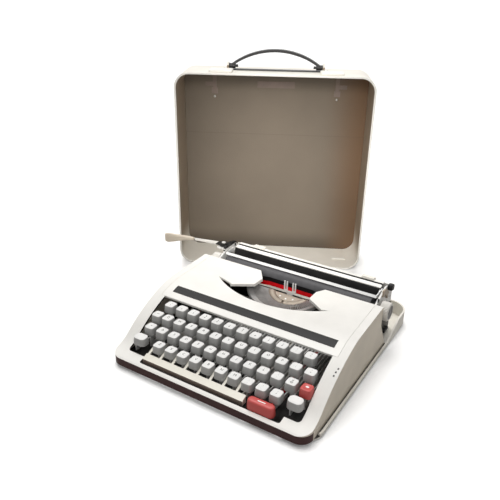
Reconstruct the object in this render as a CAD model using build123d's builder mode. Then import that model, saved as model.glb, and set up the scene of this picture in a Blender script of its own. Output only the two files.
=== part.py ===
"""Portable manual typewriter in its case tray, with the case lid standing behind it.

Millimetres. X runs to the typist's right, Y from the typist to the back, Z up.
The origin is on the desk, in the middle of the tray's footprint.
"""
import math
import os
from build123d import *

os.makedirs("parts", exist_ok=True)

# Key field, which the widths of the housing, the cover and the tray follow
key_pitch = 19.05
first_key_x = -106.0
keywell_width = 2 * (key_pitch - first_key_x + 1.0)
housing_width = keywell_width + 34.0

# Case tray
tray_width = housing_width + 10.0
tray_front = -155.0
tray_rear = 162.0
tray_corner = 26.0
tray_plate = 2.0
tray_wall = 2.5
tray_side_rim = 7.0
tray_rear_rim = 24.0
rim_rise_start = 76.0
rim_rise_end = 116.0
foot_height = 2.0
foot_width = 16.0
foot_recess_depth = 1.2
foot_recess_clearance = 1.0
foot_span_x = 228.0
foot_span_y = 236.0
fit_gap = 0.2

# Machine housing, seen from the side
housing_front = -162.0
housing_wall = 2.5
housing_corner = 16.0
housing_rear = 50.0
housing_foot_rear = 75.0
front_band_top = 15.0
lip_start = (-159.8, 16.2)
deck_end = (-150.0, 18.2)
cheek_low = (-126.0, 29.5)
cheek_high = (-50.0, 68.3)
roof_front = (-30.0, 71.8)
roof_rear_height = 74.5
rear_step_height = 46.0
housing_bottom = foot_height + tray_plate + fit_gap

# Openings in the housing and the lift-off cover
keywell_front = -146.0
keywell_rear = -68.0
keywell_corner = 5.0
cover_width = keywell_width + 12.0
cover_gap = 0.3
bar_well_left = -98.0
bar_well_right = 106.0
bar_well_front = -156.5

# Keyboard
number_row_y = -80.0
number_row_top = 61.0
row_step_y = -18.03
row_step_z = -8.15
row_stagger = [0.0, 9.525, 14.2875, 23.8125]
cap_base = 14.4
cap_top = 12.8
cap_height = 10.0
cap_corner = 3.0
shift_cap_width = 18.5
shift_cap_depth = 14.5
shift_cap_corner = 4.6
shift_cap_height = 9.5
lever_thickness = 1.5
lever_front_height = 5.5
lever_rear_height = 9.0
lever_front_clearance = 11.5
stem_length = 6.0
shaft_y = 46.0
shaft_z = 12.0
shaft_radius = 3.0
running_gap = 0.1
lever_tail = 7.0

# Space bar and tabulator bar
space_left = -95.0
space_right = 55.0
space_front = -153.0
space_front_top = 21.5
space_skirt = 6.5
space_slope = 0.42
space_deck = 2.0
space_comb_start = -142.5
space_comb_end = -131.0
space_finger = 3.2
bar_arm_height = 4.0
bar_arm_bottom = 11.6
tab_left = 61.0
tab_right = 96.0
tab_front = -155.5
tab_depth = 11.0
tab_top = 29.0
tab_bottom = 17.0

# Chassis
plate_thickness = 2.5
plate_x = 130.0
plate_front = -60.0
plate_rear = 118.0
plate_front_top = 30.0
plate_rear_top = 46.0
beam_y = 70.0
beam_thickness = 3.0
beam_top = 38.0
shelf_front = 84.0
shelf_rear = 116.0
shelf_thickness = 3.0
bearing_offset = 8.0
bearing_width = 10.0

# Carriage and platen
middle_x = 6.0
platen_y = 64.0
platen_z = 61.0
platen_radius = 13.0
platen_length = 232.0
platen_core_radius = 5.0
ratchet_teeth = 18
knob_length = 13.0
knob_radius = 13.0
knob_outer_face = 148.5
end_plate_offset = 125.0
end_plate_thickness = 2.5
end_plate_front = 52.0
end_plate_bottom = 50.0
rod_radius = 3.0
rod_z = 56.0
rod_front_y = 90.0
rod_rear_y = 108.0
table_thickness = 1.5
carriage_cover_width = 236.0
bail_y = 66.0
bail_z = 76.9
bail_pivot_y = 87.0
bail_pivot_z = 76.0
bail_half_length = 121.0
bail_bar_height = 3.8
bail_bar_thickness = 1.2
bail_pin_radius = 2.0
release_pivot_y = 91.0
release_pivot_z = 70.5

# Type basket
strike_angle = 35.0
strike_gap = 0.3
basket_tilt = 15.0
basket_height = 15.0
hinge_circle = 30.0
bar_count = 43
bar_spread = 130.0
bar_thickness = 0.9
bar_root = 2.2
bar_rise = 25.0
segment_outer = 35.0
segment_rear = 11.5
segment_thickness = 5.0
slot_width = 1.2
slot_depth = 9.0
slug_width = 3.0
slug_height = 8.0
slug_depth = 3.0

# Ribbon
ribbon_width = 13.0
ribbon_bottom = 54.8
ribbon_thickness = 0.3
ribbon_y = 49.9
spool_offset = 96.0
spool_y = 20.0
spool_flange = 17.5
spool_sides = 40
spool_core = 7.0
spool_wound = 14.0
spool_pin_radius = 2.5
flange_thickness = 0.8

# Case lid, standing upright behind the machine
lid_width = 312.0
lid_height = 326.0
lid_depth = 80.0
lid_wall = 3.0
lid_corner = 24.0
lid_back_edge = 5.0
lid_turn = 27.66
lid_corner_x = -252.6
lid_corner_y = 124.0
handle_span = 137.0
handle_rise = 22.0
handle_width = 12.0
handle_thickness = 4.0
handle_pin_radius = 2.0
handle_axis_height = 6.0


def save(piece, name):
    """Label a finished piece and write it as a STEP file."""
    piece.part.label = name
    export_step(piece.part, f"parts/{name}.step")


def profile_points(inset):
    """Joints of the curved side profile, moved square to it towards the inside.

    The profile is a straight deck and then arcs, each one tangent to what comes before it.
    Returns (y, z, angle of the curve) for each joint.
    """
    joints = [lip_start, deck_end, cheek_low, cheek_high, roof_front]
    angle = math.atan2(deck_end[1] - lip_start[1], deck_end[0] - lip_start[0])
    angles = [angle, angle]
    for start, end in zip(joints[1:], joints[2:]):
        chord = math.atan2(end[1] - start[1], end[0] - start[0])
        angle = 2 * chord - angle
        angles.append(angle)
    return [
        (y + inset * math.sin(angle), z - inset * math.cos(angle), angle)
        for (y, z), angle in zip(joints, angles)
    ]


def draw_profile(points):
    """The deck line and the tangent arcs up to the roof."""
    Line(points[0][:2], points[1][:2])
    for start, end in zip(points[1:], points[2:]):
        heading = (math.cos(start[2]), math.sin(start[2]))
        TangentArc(start[:2], end[:2], tangent=heading)


def side_outline():
    """Side view of the housing: front band, curved cheek, roof and stepped rear."""
    Polyline((housing_front, housing_bottom), (housing_front, front_band_top), lip_start)
    draw_profile(profile_points(0.0))
    Polyline(
        roof_front,
        (housing_rear, roof_rear_height),
        (housing_rear, rear_step_height),
        (housing_foot_rear, housing_bottom),
        (housing_front, housing_bottom),
    )


def inside_outline():
    """Side view of the space inside the walls, open underneath and at the rear."""
    curve = profile_points(housing_wall)
    inside_front = housing_front + housing_wall
    beyond = housing_rear + 60.0
    roof_slope = (roof_rear_height - roof_front[1]) / (housing_rear - roof_front[0])
    Polyline((inside_front, 0), (inside_front, front_band_top - housing_wall), curve[0][:2])
    draw_profile(curve)
    Polyline(
        curve[-1][:2],
        (beyond, curve[-1][1] + roof_slope * (beyond - curve[-1][0])),
        (beyond, 0),
        (inside_front, 0),
    )


def footprint(inset):
    """Plan of the housing with rounded front corners, run on past its open rear."""
    length = 300.0
    with Locations((0, housing_front + length / 2)):
        RectangleRounded(
            housing_width - 2 * inset, length - 2 * inset, housing_corner - inset
        )


# Solid body of the housing's outer shape, and the space inside its walls
with BuildPart() as outer_form:
    with BuildSketch(Plane.YZ):
        with BuildLine():
            side_outline()
        make_face()
    extrude(amount=housing_width / 2, both=True)
    with BuildSketch(Plane.XY):
        footprint(0.0)
    extrude(amount=100.0, mode=Mode.INTERSECT)

with BuildPart() as inner_form:
    with BuildSketch(Plane.YZ):
        with BuildLine():
            inside_outline()
        make_face()
    extrude(amount=housing_width / 2 - housing_wall, both=True)
    with BuildSketch(Plane.XY):
        footprint(housing_wall)
    extrude(amount=100.0, mode=Mode.INTERSECT)


# Tray: thin floor with rounded corners and a rim that rises behind the machine
with BuildPart() as base_tray:
    tray_mid_y = (tray_front + tray_rear) / 2
    tray_length = tray_rear - tray_front
    with BuildSketch(Plane.XY.offset(foot_height)):
        with Locations((0, tray_mid_y)):
            RectangleRounded(tray_width, tray_length, tray_corner)
    extrude(amount=tray_rear_rim - foot_height)
    with BuildSketch(Plane.XY.offset(foot_height + tray_plate)):
        with Locations((0, tray_mid_y)):
            RectangleRounded(
                tray_width - 2 * tray_wall,
                tray_length - 2 * tray_wall,
                tray_corner - tray_wall,
            )
    extrude(amount=tray_rear_rim, mode=Mode.SUBTRACT)
    with BuildSketch(Plane.YZ):
        with BuildLine():
            Polyline(
                (tray_front - 5, tray_side_rim),
                (rim_rise_start, tray_side_rim),
                (rim_rise_end, tray_rear_rim + 0.5),
                (rim_rise_end, tray_rear_rim + 10),
                (tray_front - 5, tray_rear_rim + 10),
                close=True,
            )
        make_face()
    extrude(amount=tray_width, both=True, mode=Mode.SUBTRACT)
    front_plate_top = foot_height + tray_plate
    with BuildSketch(Plane.XY.offset(front_plate_top)):
        with Locations((0, housing_front)):
            Rectangle(tray_width + 10, 2 * (keywell_front - housing_front + 10))
    extrude(amount=tray_rear_rim, mode=Mode.SUBTRACT)
    with BuildSketch(Plane.XY.offset(foot_height)):
        with GridLocations(foot_span_x, foot_span_y, 2, 2):
            Rectangle(foot_width + 2 * foot_recess_clearance, foot_width + 2 * foot_recess_clearance)
    extrude(amount=foot_recess_depth, mode=Mode.SUBTRACT)
save(base_tray, "base_tray")

with BuildPart() as rubber_feet:
    with BuildSketch(Plane.XY):
        with GridLocations(foot_span_x, foot_span_y, 2, 2):
            Rectangle(foot_width, foot_width)
    extrude(amount=foot_height + foot_recess_depth)
    chamfer(rubber_feet.faces().sort_by(Axis.Z)[:4].edges(), 0.8)
save(rubber_feet, "rubber_feet")


# Housing: keyboard surround with two cheeks, open at the rear and underneath
with BuildPart() as top_housing:
    add(outer_form.part)
    add(inner_form.part, mode=Mode.SUBTRACT)
    well_depth = keywell_rear - keywell_front
    with BuildSketch(Plane.XY.offset(front_band_top - housing_wall)):
        with Locations((0, keywell_front + well_depth / 2 + 5)):
            RectangleRounded(keywell_width, well_depth + 10, keywell_corner)
    extrude(amount=100.0, mode=Mode.SUBTRACT)
    with BuildSketch(Plane.XY.offset(front_band_top - housing_wall)):
        with Locations(((bar_well_left + bar_well_right) / 2, bar_well_front + 10)):
            RectangleRounded(bar_well_right - bar_well_left, 20.0, 3.0)
    extrude(amount=100.0, mode=Mode.SUBTRACT)
    with BuildSketch(Plane.XY.offset(front_band_top)):
        with Locations((0, keywell_rear + 100)):
            Rectangle(cover_width + 2 * cover_gap, 200)
    extrude(amount=100.0, mode=Mode.SUBTRACT)
save(top_housing, "top_housing")


# Ribbon cover: the lift-off roof plate with the type basket opening between its ears
opening_left = (-86.0, 4.0)
opening_front = (2.0, -26.0)
opening_right = (86.5, 5.0)
left_ear = [(-64.5, -2.0), (-58.5, -5.0), (-31.0, 12.0), (-29.5, 31.0), (-44.0, 51.0)]
right_ear = [(77.0, 1.5), (51.0, 18.0), (51.5, 37.5), (60.0, 51.0)]
ear_flange_bottom = 69.0
ear_flange_top = 71.2
with BuildPart() as ribbon_cover:
    add(outer_form.part)
    add(inner_form.part, mode=Mode.SUBTRACT)
    cover_front = keywell_rear + cover_gap
    cover_rear = housing_rear
    with BuildSketch(Plane.XY.offset(front_band_top)):
        with Locations((0, (cover_front + cover_rear) / 2)):
            Rectangle(cover_width, cover_rear - cover_front)
    extrude(amount=100.0, mode=Mode.INTERSECT)
    with BuildSketch(Plane.XY.offset(front_band_top)):
        with BuildLine():
            ThreePointArc(opening_left, opening_front, opening_right)
            Polyline(opening_right, *right_ear, *reversed(left_ear), opening_left)
        make_face()
    extrude(amount=100.0, mode=Mode.SUBTRACT)
    for side, ear in ((-1, left_ear[1:-1]), (1, right_ear[:-1])):
        with BuildSketch(Plane.XY.offset(ear_flange_bottom)):
            with BuildLine():
                Polyline(*[(x + side * 1.0, y + 0.7) for x, y in ear])
                offset(amount=0.9, kind=Kind.INTERSECTION, mode=Mode.REPLACE)
            make_face()
        extrude(amount=ear_flange_top - ear_flange_bottom)
save(ribbon_cover, "ribbon_cover")


# Chassis: side plates, cross beams, rear shelf and the carriage bearings
with BuildPart() as chassis:
    floor_top = foot_height + tray_plate
    for side in (-1, 1):
        with BuildSketch(Plane.YZ.offset(side * plate_x)):
            with BuildLine():
                Polyline(
                    (plate_front, floor_top),
                    (plate_front, plate_front_top),
                    (shaft_y - 10, plate_front_top + 6),
                    (shaft_y + 6, plate_rear_top),
                    (plate_rear, plate_rear_top),
                    (plate_rear, floor_top),
                    close=True,
                )
            make_face()
            with Locations((-32, 17), (8, 19)):
                Rectangle(26, 11, mode=Mode.SUBTRACT)
        extrude(amount=side * plate_thickness)
    with BuildSketch(Plane.XY.offset(floor_top)):
        Rectangle(2 * plate_x, 12)
    extrude(amount=1.6)
    with BuildSketch(Plane.XZ.offset(-beam_y)):
        with Locations((0, (12 + beam_top) / 2)):
            Rectangle(2 * plate_x, beam_top - 12)
    extrude(amount=beam_thickness)
    with BuildSketch(Plane.XY.offset(plate_rear_top - shelf_thickness)):
        with Locations((0, (shelf_front + shelf_rear) / 2)):
            Rectangle(2 * plate_x, shelf_rear - shelf_front)
    extrude(amount=shelf_thickness)
    with BuildSketch(Plane.YZ.offset(middle_x - bearing_offset - bearing_width / 2)):
        for rod_y in (rod_front_y, rod_rear_y):
            with Locations((rod_y, (plate_rear_top + rod_z + 6) / 2)):
                Rectangle(12, rod_z + 6 - plate_rear_top)
            with Locations((rod_y, rod_z)):
                Circle(rod_radius + running_gap, mode=Mode.SUBTRACT)
    extrude(amount=bearing_width)
    with BuildSketch(Plane.YZ.offset(middle_x + bearing_offset - bearing_width / 2)):
        for rod_y in (rod_front_y, rod_rear_y):
            with Locations((rod_y, (plate_rear_top + rod_z + 6) / 2)):
                Rectangle(12, rod_z + 6 - plate_rear_top)
            with Locations((rod_y, rod_z)):
                Circle(rod_radius + running_gap, mode=Mode.SUBTRACT)
    extrude(amount=bearing_width)
    drum_x, drum_y, drum_base = -98.0, 100.0, 11.0
    bell_x, bell_y, bell_base = 98.0, 100.0, 11.0
    for post_x in (drum_x, bell_x):
        with BuildSketch(Plane.XY.offset(drum_base - 3)):
            with Locations(((post_x + math.copysign(plate_x, post_x)) / 2, drum_y)):
                Rectangle(abs(plate_x - abs(post_x)) + 12, 16)
        extrude(amount=3)
    with BuildSketch(Plane.XY.offset(drum_base)):
        with Locations((drum_x, drum_y)):
            Circle(spool_pin_radius)
    extrude(amount=17)
    with BuildSketch(Plane.XY.offset(bell_base)):
        with Locations((bell_x, bell_y)):
            Circle(spool_pin_radius)
    extrude(amount=10)
    for side in (-1, 1):
        spool_x = middle_x + side * spool_offset
        bracket_x = (spool_x + side * plate_x) / 2
        with BuildSketch(Plane.XY.offset(ribbon_bottom - 8)):
            with Locations((bracket_x, spool_y)):
                Rectangle(abs(side * plate_x - spool_x) + 10, 14)
        extrude(amount=3)
        with BuildSketch(Plane.XY.offset(ribbon_bottom - 6)):
            with Locations((spool_x, spool_y)):
                Circle(spool_pin_radius)
        extrude(amount=ribbon_width + 6)
        with BuildSketch(Plane.YZ.offset(side * plate_x)):
            with Locations((spool_y, 39)):
                Rectangle(14, 2 * (ribbon_bottom - 5 - 39))
        extrude(amount=side * plate_thickness)
save(chassis, "chassis")


# Fulcrum shaft that every key lever turns on
with BuildPart() as key_shaft:
    with BuildSketch(Plane.YZ.offset(-plate_x)):
        with Locations((shaft_y, shaft_z)):
            Circle(shaft_radius)
    extrude(amount=2 * plate_x)
save(key_shaft, "key_shaft")


def lever_bottom(y):
    """Height of a key lever's lower edge, rising gently from the shaft to the front."""
    share = (shaft_y - y) / (shaft_y - (number_row_y + 3 * row_step_y))
    low = shaft_z - 4.0
    return low + share * (foot_height + tray_plate + lever_front_clearance - low)


def draw_shaft_notch(low):
    """Notch, open underneath, with which a lever hooks over the shaft.

    Its top is an arc that bears on the shaft; the shoulders run on along the arc's tangents.
    """
    reach = shaft_radius + running_gap
    half_arc = math.radians(30)
    arc_y, arc_z = reach * math.sin(half_arc), reach * math.cos(half_arc)
    shoulder = shaft_z + reach * (1 - math.sin(half_arc)) / math.cos(half_arc)
    with BuildLine() as notch:
        ThreePointArc(
            (shaft_y - arc_y, shaft_z + arc_z),
            (shaft_y, shaft_z + reach),
            (shaft_y + arc_y, shaft_z + arc_z),
        )
        Polyline(
            (shaft_y + arc_y, shaft_z + arc_z),
            (shaft_y + reach, shoulder),
            (shaft_y + reach, low - 1),
            (shaft_y - reach, low - 1),
            (shaft_y - reach, shoulder),
            (shaft_y - arc_y, shaft_z + arc_z),
        )
    make_face(notch.edges(), mode=Mode.SUBTRACT)


def draw_lever(x, y_key, top):
    """One flat steel lever, upturned at the front into the stem that carries the cap."""
    front = y_key - stem_length / 2
    back = y_key + stem_length / 2
    with BuildSketch(Plane.YZ.offset(x - lever_thickness / 2)) as outline:
        with BuildLine():
            Polyline(
                (shaft_y + lever_tail, lever_bottom(shaft_y)),
                (shaft_y + lever_tail, lever_bottom(shaft_y) + lever_rear_height),
                (back + 4, lever_bottom(back) + lever_front_height),
                (back, lever_bottom(back) + lever_front_height + 3),
                (back, top),
                (front, top),
                (front, lever_bottom(front)),
                close=True,
            )
        make_face()
        draw_shaft_notch(lever_bottom(shaft_y))
    extrude(outline.sketch, amount=lever_thickness)


def cut_corner_points(x, y, width, depth, corner):
    """Points of a rectangle round (x, y) whose four corners are cut off."""
    half_x, half_y = width / 2, depth / 2
    quarter = [(half_x, half_y - corner), (half_x - corner, half_y)]
    upper = quarter + [(-across, along) for across, along in reversed(quarter)]
    whole = upper + [(-across, -along) for across, along in upper]
    return [(x + across, y + along) for across, along in whole]


def draw_cap(x, y, top, width, depth, corner, height):
    """Moulded key cap: a block with cut corners that narrows to its flat top."""
    taper = cap_base - cap_top
    with BuildSketch(Plane.XY.offset(top - height)) as base:
        with BuildLine():
            Polyline(*cut_corner_points(x, y, width, depth, corner), close=True)
        make_face()
    with BuildSketch(Plane.XY.offset(top)) as crown:
        with BuildLine():
            points = cut_corner_points(x, y, width - taper, depth - taper, corner)
            Polyline(*points, close=True)
        make_face()
    loft([base.sketch, crown.sketch], ruled=True)


def row_x(row, index):
    return first_key_x + row_stagger[row] + index * key_pitch


def row_y(row):
    return number_row_y + row * row_step_y


def row_top(row):
    return number_row_top + row * row_step_z


def draw_key(row, index):
    """A normal key: square cap on its own lever."""
    x, y, top = row_x(row, index), row_y(row), row_top(row)
    draw_lever(x, y, top - cap_height)
    draw_cap(x, y, top, cap_base, cap_base, cap_corner, cap_height)


# The twenty-six letter keys, each on its own lever
letter_rows = {1: "qwertyuiop", 2: "asdfghjkl", 3: "zxcvbnm"}
for row, letters in letter_rows.items():
    for index, letter in enumerate(letters):
        with BuildPart() as letter_key:
            draw_key(row, index)
        save(letter_key, f"key_{letter}")

# Number row and the sign keys at the ends of the lower rows
with BuildPart() as number_and_sign_keys:
    for index in range(12):
        draw_key(0, index)
    for row, first, last in ((1, 10, 12), (2, 9, 11), (3, 7, 10)):
        for index in range(first, last):
            draw_key(row, index)
save(number_and_sign_keys, "number_and_sign_keys")

# Function keys at the ends of the rows
with BuildPart() as margin_release_key:
    draw_lever(row_x(1, -1), row_y(1), row_top(1) - cap_height)
    draw_cap(row_x(1, -1) + 2.0, row_y(1), row_top(1), cap_base, cap_base, cap_corner, cap_height)
save(margin_release_key, "margin_release_key")

with BuildPart() as shift_lock_key:
    draw_key(2, -1)
save(shift_lock_key, "shift_lock_key")

with BuildPart() as backspace_key:
    draw_key(2, 11)
save(backspace_key, "backspace_key")

# Both shift keys on one frame, because either one moves the same linkage
with BuildPart() as shift_keys:
    shift_top = row_top(3) + 1.0
    for lever_x, cap_x in ((row_x(3, -2), -113.0), (row_x(3, 10), 113.5)):
        draw_lever(lever_x, row_y(3), shift_top - shift_cap_height)
        draw_cap(
            cap_x, row_y(3), shift_top,
            shift_cap_width, shift_cap_depth, shift_cap_corner, shift_cap_height,
        )
        with BuildSketch(Plane.YZ.offset(lever_x - lever_thickness / 2)):
            with Locations((shaft_y + lever_tail, lever_bottom(shaft_y) + 4.5)):
                Rectangle(8.0, 9.0)
        extrude(amount=lever_thickness)
    link_left = row_x(3, -2) - lever_thickness / 2
    link_right = row_x(3, 10) + lever_thickness / 2
    with BuildSketch(Plane.YZ.offset(link_left)):
        with Locations((shaft_y + lever_tail + 2.8, lever_bottom(shaft_y) + 4.5)):
            Rectangle(4.0, 9.0)
    extrude(amount=link_right - link_left)
save(shift_keys, "shift_keys")


def draw_bar_arm(x, front):
    """Flat arm from the shaft to a bar that lies in front of the keys."""
    low = shaft_z - bar_arm_height / 2 - 1.5
    with BuildSketch(Plane.YZ.offset(x - lever_thickness / 2)) as outline:
        with BuildLine():
            Polyline(
                (shaft_y + 5, low),
                (shaft_y + 5, low + 7),
                (shaft_y - 8, low + 7),
                (row_y(2), bar_arm_bottom + bar_arm_height),
                (front, bar_arm_bottom + bar_arm_height + 0.6),
                (front, bar_arm_bottom),
                (row_y(2), bar_arm_bottom),
                close=True,
            )
        make_face()
        draw_shaft_notch(low)
    extrude(outline.sketch, amount=lever_thickness)


def free_plane(count):
    """X of the middle of a gap between two neighbouring key levers."""
    return first_key_x + (count + 0.5) * key_pitch / 4


# Space bar: long moulded bar whose rear edge is a comb between the bottom keys
with BuildPart() as space_bar:
    space_length = space_right - space_left
    deck_rise = (space_comb_start - space_front) * space_slope
    comb_rise = (space_comb_end - space_front) * space_slope
    with BuildSketch(Plane.YZ.offset(space_left)):
        with BuildLine():
            Polyline(
                (space_front, space_front_top - space_skirt),
                (space_front, space_front_top),
                (space_comb_end, space_front_top + comb_rise),
                (space_comb_end, space_front_top + comb_rise - space_deck),
                (space_front + 8.0, space_front_top + 8.0 * space_slope - space_deck),
                (space_front + 8.0, space_front_top - space_skirt),
                close=True,
            )
        make_face()
    extrude(amount=space_length)
    with BuildSketch(Plane.XY):
        for index in range(-1, 9):
            with Locations((row_x(3, index), (space_comb_start + space_comb_end) / 2)):
                Rectangle(key_pitch - space_finger, space_comb_end - space_comb_start + 4)
    extrude(amount=60.0, mode=Mode.SUBTRACT)
    for arm_x in (free_plane(4), free_plane(31)):
        draw_bar_arm(arm_x, space_front + 4.0)
save(space_bar, "space_bar")

# Tabulator bar: short raised bar beside the space bar
with BuildPart() as tab_bar:
    with BuildSketch(Plane.XY.offset(tab_bottom)):
        with Locations(((tab_left + tab_right) / 2, tab_front + tab_depth / 2)):
            RectangleRounded(tab_right - tab_left, tab_depth, 5.0)
    with BuildSketch(Plane.XY.offset(tab_top)):
        with Locations(((tab_left + tab_right) / 2, tab_front + tab_depth / 2)):
            RectangleRounded(tab_right - tab_left - 2.0, tab_depth - 2.0, 4.0)
    loft()
    with BuildSketch(Plane.YZ.offset(free_plane(39) - 4)):
        with Locations((tab_front + 7.0, 15.2)):
            Rectangle(7.0, 4.0)
    extrude(amount=8)
    draw_bar_arm(free_plane(39), tab_front + 8.0)
save(tab_bar, "tab_bar")


# Type basket geometry: the hinge circle's axis passes through the printing point
strike_reach = platen_radius + strike_gap
strike_y = platen_y - strike_reach * math.cos(math.radians(strike_angle))
strike_z = platen_z + strike_reach * math.sin(math.radians(strike_angle))
tilt = math.radians(basket_tilt)
axis_dir = Vector(0, -math.sin(tilt), math.cos(tilt))
basket_centre = Vector(middle_x, strike_y, strike_z) - axis_dir * basket_height
bar_length = math.hypot(hinge_circle, basket_height)
basket_plane = Plane(origin=basket_centre, x_dir=(1, 0, 0), z_dir=axis_dir)


def bar_angles():
    """Directions of the type bars round the hinge circle; the middle one faces forward."""
    step = bar_spread / (bar_count - 1)
    return [-90.0 - bar_spread / 2 + step * index for index in range(bar_count)]


def bar_plane(angle):
    """Plane in which one type bar swings: X outward, Y along the basket's axis."""
    turn = math.radians(angle)
    outward = basket_plane.x_dir * math.cos(turn) + basket_plane.y_dir * math.sin(turn)
    return Plane(origin=basket_centre, x_dir=outward, z_dir=outward.cross(axis_dir))


def draw_type_bar(angle, round_root=False):
    """One flat type bar at rest, with the type slug at its end."""
    rise = math.radians(bar_rise)
    along = (math.cos(rise), math.sin(rise))
    across = (-math.sin(rise), math.cos(rise))

    def point(reach, side):
        return (
            hinge_circle + reach * along[0] + side * across[0],
            reach * along[1] + side * across[1],
        )

    flat = bar_plane(angle)
    reach = bar_length - slug_height / 2
    with BuildSketch(flat.offset(-bar_thickness / 2)) as bar:
        with BuildLine():
            if round_root:
                ThreePointArc(point(0, -bar_root), point(-bar_root, 0), point(0, bar_root))
            else:
                back, part = -0.8 * bar_root, 0.6 * bar_root
                Polyline(
                    point(0, -bar_root), point(back, -part), point(back, part), point(0, bar_root)
                )
            Polyline(
                point(0, bar_root),
                point(8.0, 1.6),
                point(reach, 1.1),
                point(reach, -1.1),
                point(8.0, -1.4),
                point(0, -bar_root),
            )
        make_face()
    extrude(bar.sketch, amount=bar_thickness)
    with BuildSketch(flat.offset(-slug_width / 2)) as slug:
        with BuildLine():
            Polyline(
                point(reach, -slug_depth / 2),
                point(reach, slug_depth / 2 + 0.6),
                point(reach + slug_height, slug_depth / 2 + 0.6),
                point(reach + slug_height, -slug_depth / 2),
                close=True,
            )
        make_face()
    extrude(slug.sketch, amount=slug_width)


# Segment: half-round slotted casting that carries the type bars
with BuildPart() as type_segment:
    with BuildSketch(basket_plane.offset(-segment_thickness)):
        with BuildLine():
            segment_half = math.sqrt(segment_outer**2 - segment_rear**2)
            ThreePointArc(
                (-segment_half, -segment_rear), (0, -segment_outer), (segment_half, -segment_rear)
            )
            Line((segment_half, -segment_rear), (-segment_half, -segment_rear))
        make_face()
    extrude(amount=segment_thickness)
    for angle in bar_angles():
        with BuildSketch(bar_plane(angle).offset(-slot_width / 2)):
            with Locations((segment_outer - slot_depth / 2 + 1, 0)):
                Rectangle(slot_depth + 2, 2 * (segment_thickness - 1.5))
        extrude(amount=slot_width, mode=Mode.SUBTRACT)
    with BuildSketch(Plane.YZ.offset(middle_x - 14)):
        with BuildLine():
            Polyline(
                (basket_centre.Y - 18.5, basket_centre.Z - 9.6),
                (basket_centre.Y - 12.0, basket_centre.Z - 7.7),
                (basket_centre.Y - 10.5, basket_centre.Z - 10.5),
                (beam_y - beam_thickness, beam_top - 2.0),
                (beam_y - beam_thickness, beam_top - 12.0),
                (basket_centre.Y - 17.0, basket_centre.Z - 17.0),
                close=True,
            )
        make_face()
    extrude(amount=28)
save(type_segment, "type_segment")

with BuildPart() as type_bars:
    for index, angle in enumerate(bar_angles()):
        if index != bar_count // 2:
            draw_type_bar(angle)
save(type_bars, "type_bars")

with BuildPart() as type_bar_h:
    draw_type_bar(-90.0, round_root=True)
save(type_bar_h, "type_bar_h")


# Ribbon: one thin band from spool to spool past the printing point
guide_half = 34.0
ribbon_tangent_y = spool_y + spool_wound
with BuildPart() as ribbon:
    with BuildSketch(Plane.XY.offset(ribbon_bottom)):
        with BuildLine():
            Polyline(
                (middle_x - spool_offset, ribbon_tangent_y + 0.4),
                (middle_x - guide_half, ribbon_y),
                (middle_x + guide_half, ribbon_y),
                (middle_x + spool_offset, ribbon_tangent_y + 0.4),
            )
            offset(amount=ribbon_thickness / 2, mode=Mode.REPLACE)
        make_face()
    extrude(amount=ribbon_width)
save(ribbon, "ribbon")

for side, side_name in ((-1, "left"), (1, "right")):
    with BuildPart() as ribbon_spool:
        spool_x = middle_x + side * spool_offset
        low = ribbon_bottom - flange_thickness - 0.3
        with BuildSketch(Plane.XY.offset(low)):
            with Locations((spool_x, spool_y)):
                RegularPolygon(spool_flange, spool_sides)
        extrude(amount=flange_thickness)
        with BuildSketch(Plane.XY.offset(low + flange_thickness)):
            with Locations((spool_x, spool_y)):
                RegularPolygon(spool_wound - 0.3, spool_sides)
        extrude(amount=ribbon_width + 0.6)
        with BuildSketch(Plane.XY.offset(ribbon_bottom + ribbon_width + 0.3)):
            with Locations((spool_x, spool_y)):
                RegularPolygon(spool_flange, spool_sides)
        extrude(amount=flange_thickness)
        with BuildSketch(Plane.XY.offset(low - 1)):
            with Locations((spool_x, spool_y)):
                Circle(spool_pin_radius + running_gap)
        extrude(amount=ribbon_width + 5, mode=Mode.SUBTRACT)
    save(ribbon_spool, f"ribbon_spool_{side_name}")

# Ribbon guide: the fork in front of the printing point that lifts the ribbon
with BuildPart() as ribbon_guide:
    fork_back = ribbon_y - ribbon_thickness / 2 - 0.5
    with BuildSketch(Plane.XZ.offset(-fork_back)):
        with BuildLine():
            left_half = [
                (-4.0, 45.8), (-4.0, 51.0), (-9.5, 54.0), (-9.5, 70.5), (-7.7, 70.5),
                (-7.7, 57.5), (-5.6, 57.5), (-5.6, 70.5), (-3.8, 70.5), (-3.8, 56.0),
            ]
            right_half = [(-across, height) for across, height in reversed(left_half)]
            whole = [(middle_x + across, height) for across, height in left_half + right_half]
            Polyline(*whole, close=True)
        make_face()
    extrude(amount=1.2)
save(ribbon_guide, "ribbon_guide")


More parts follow.
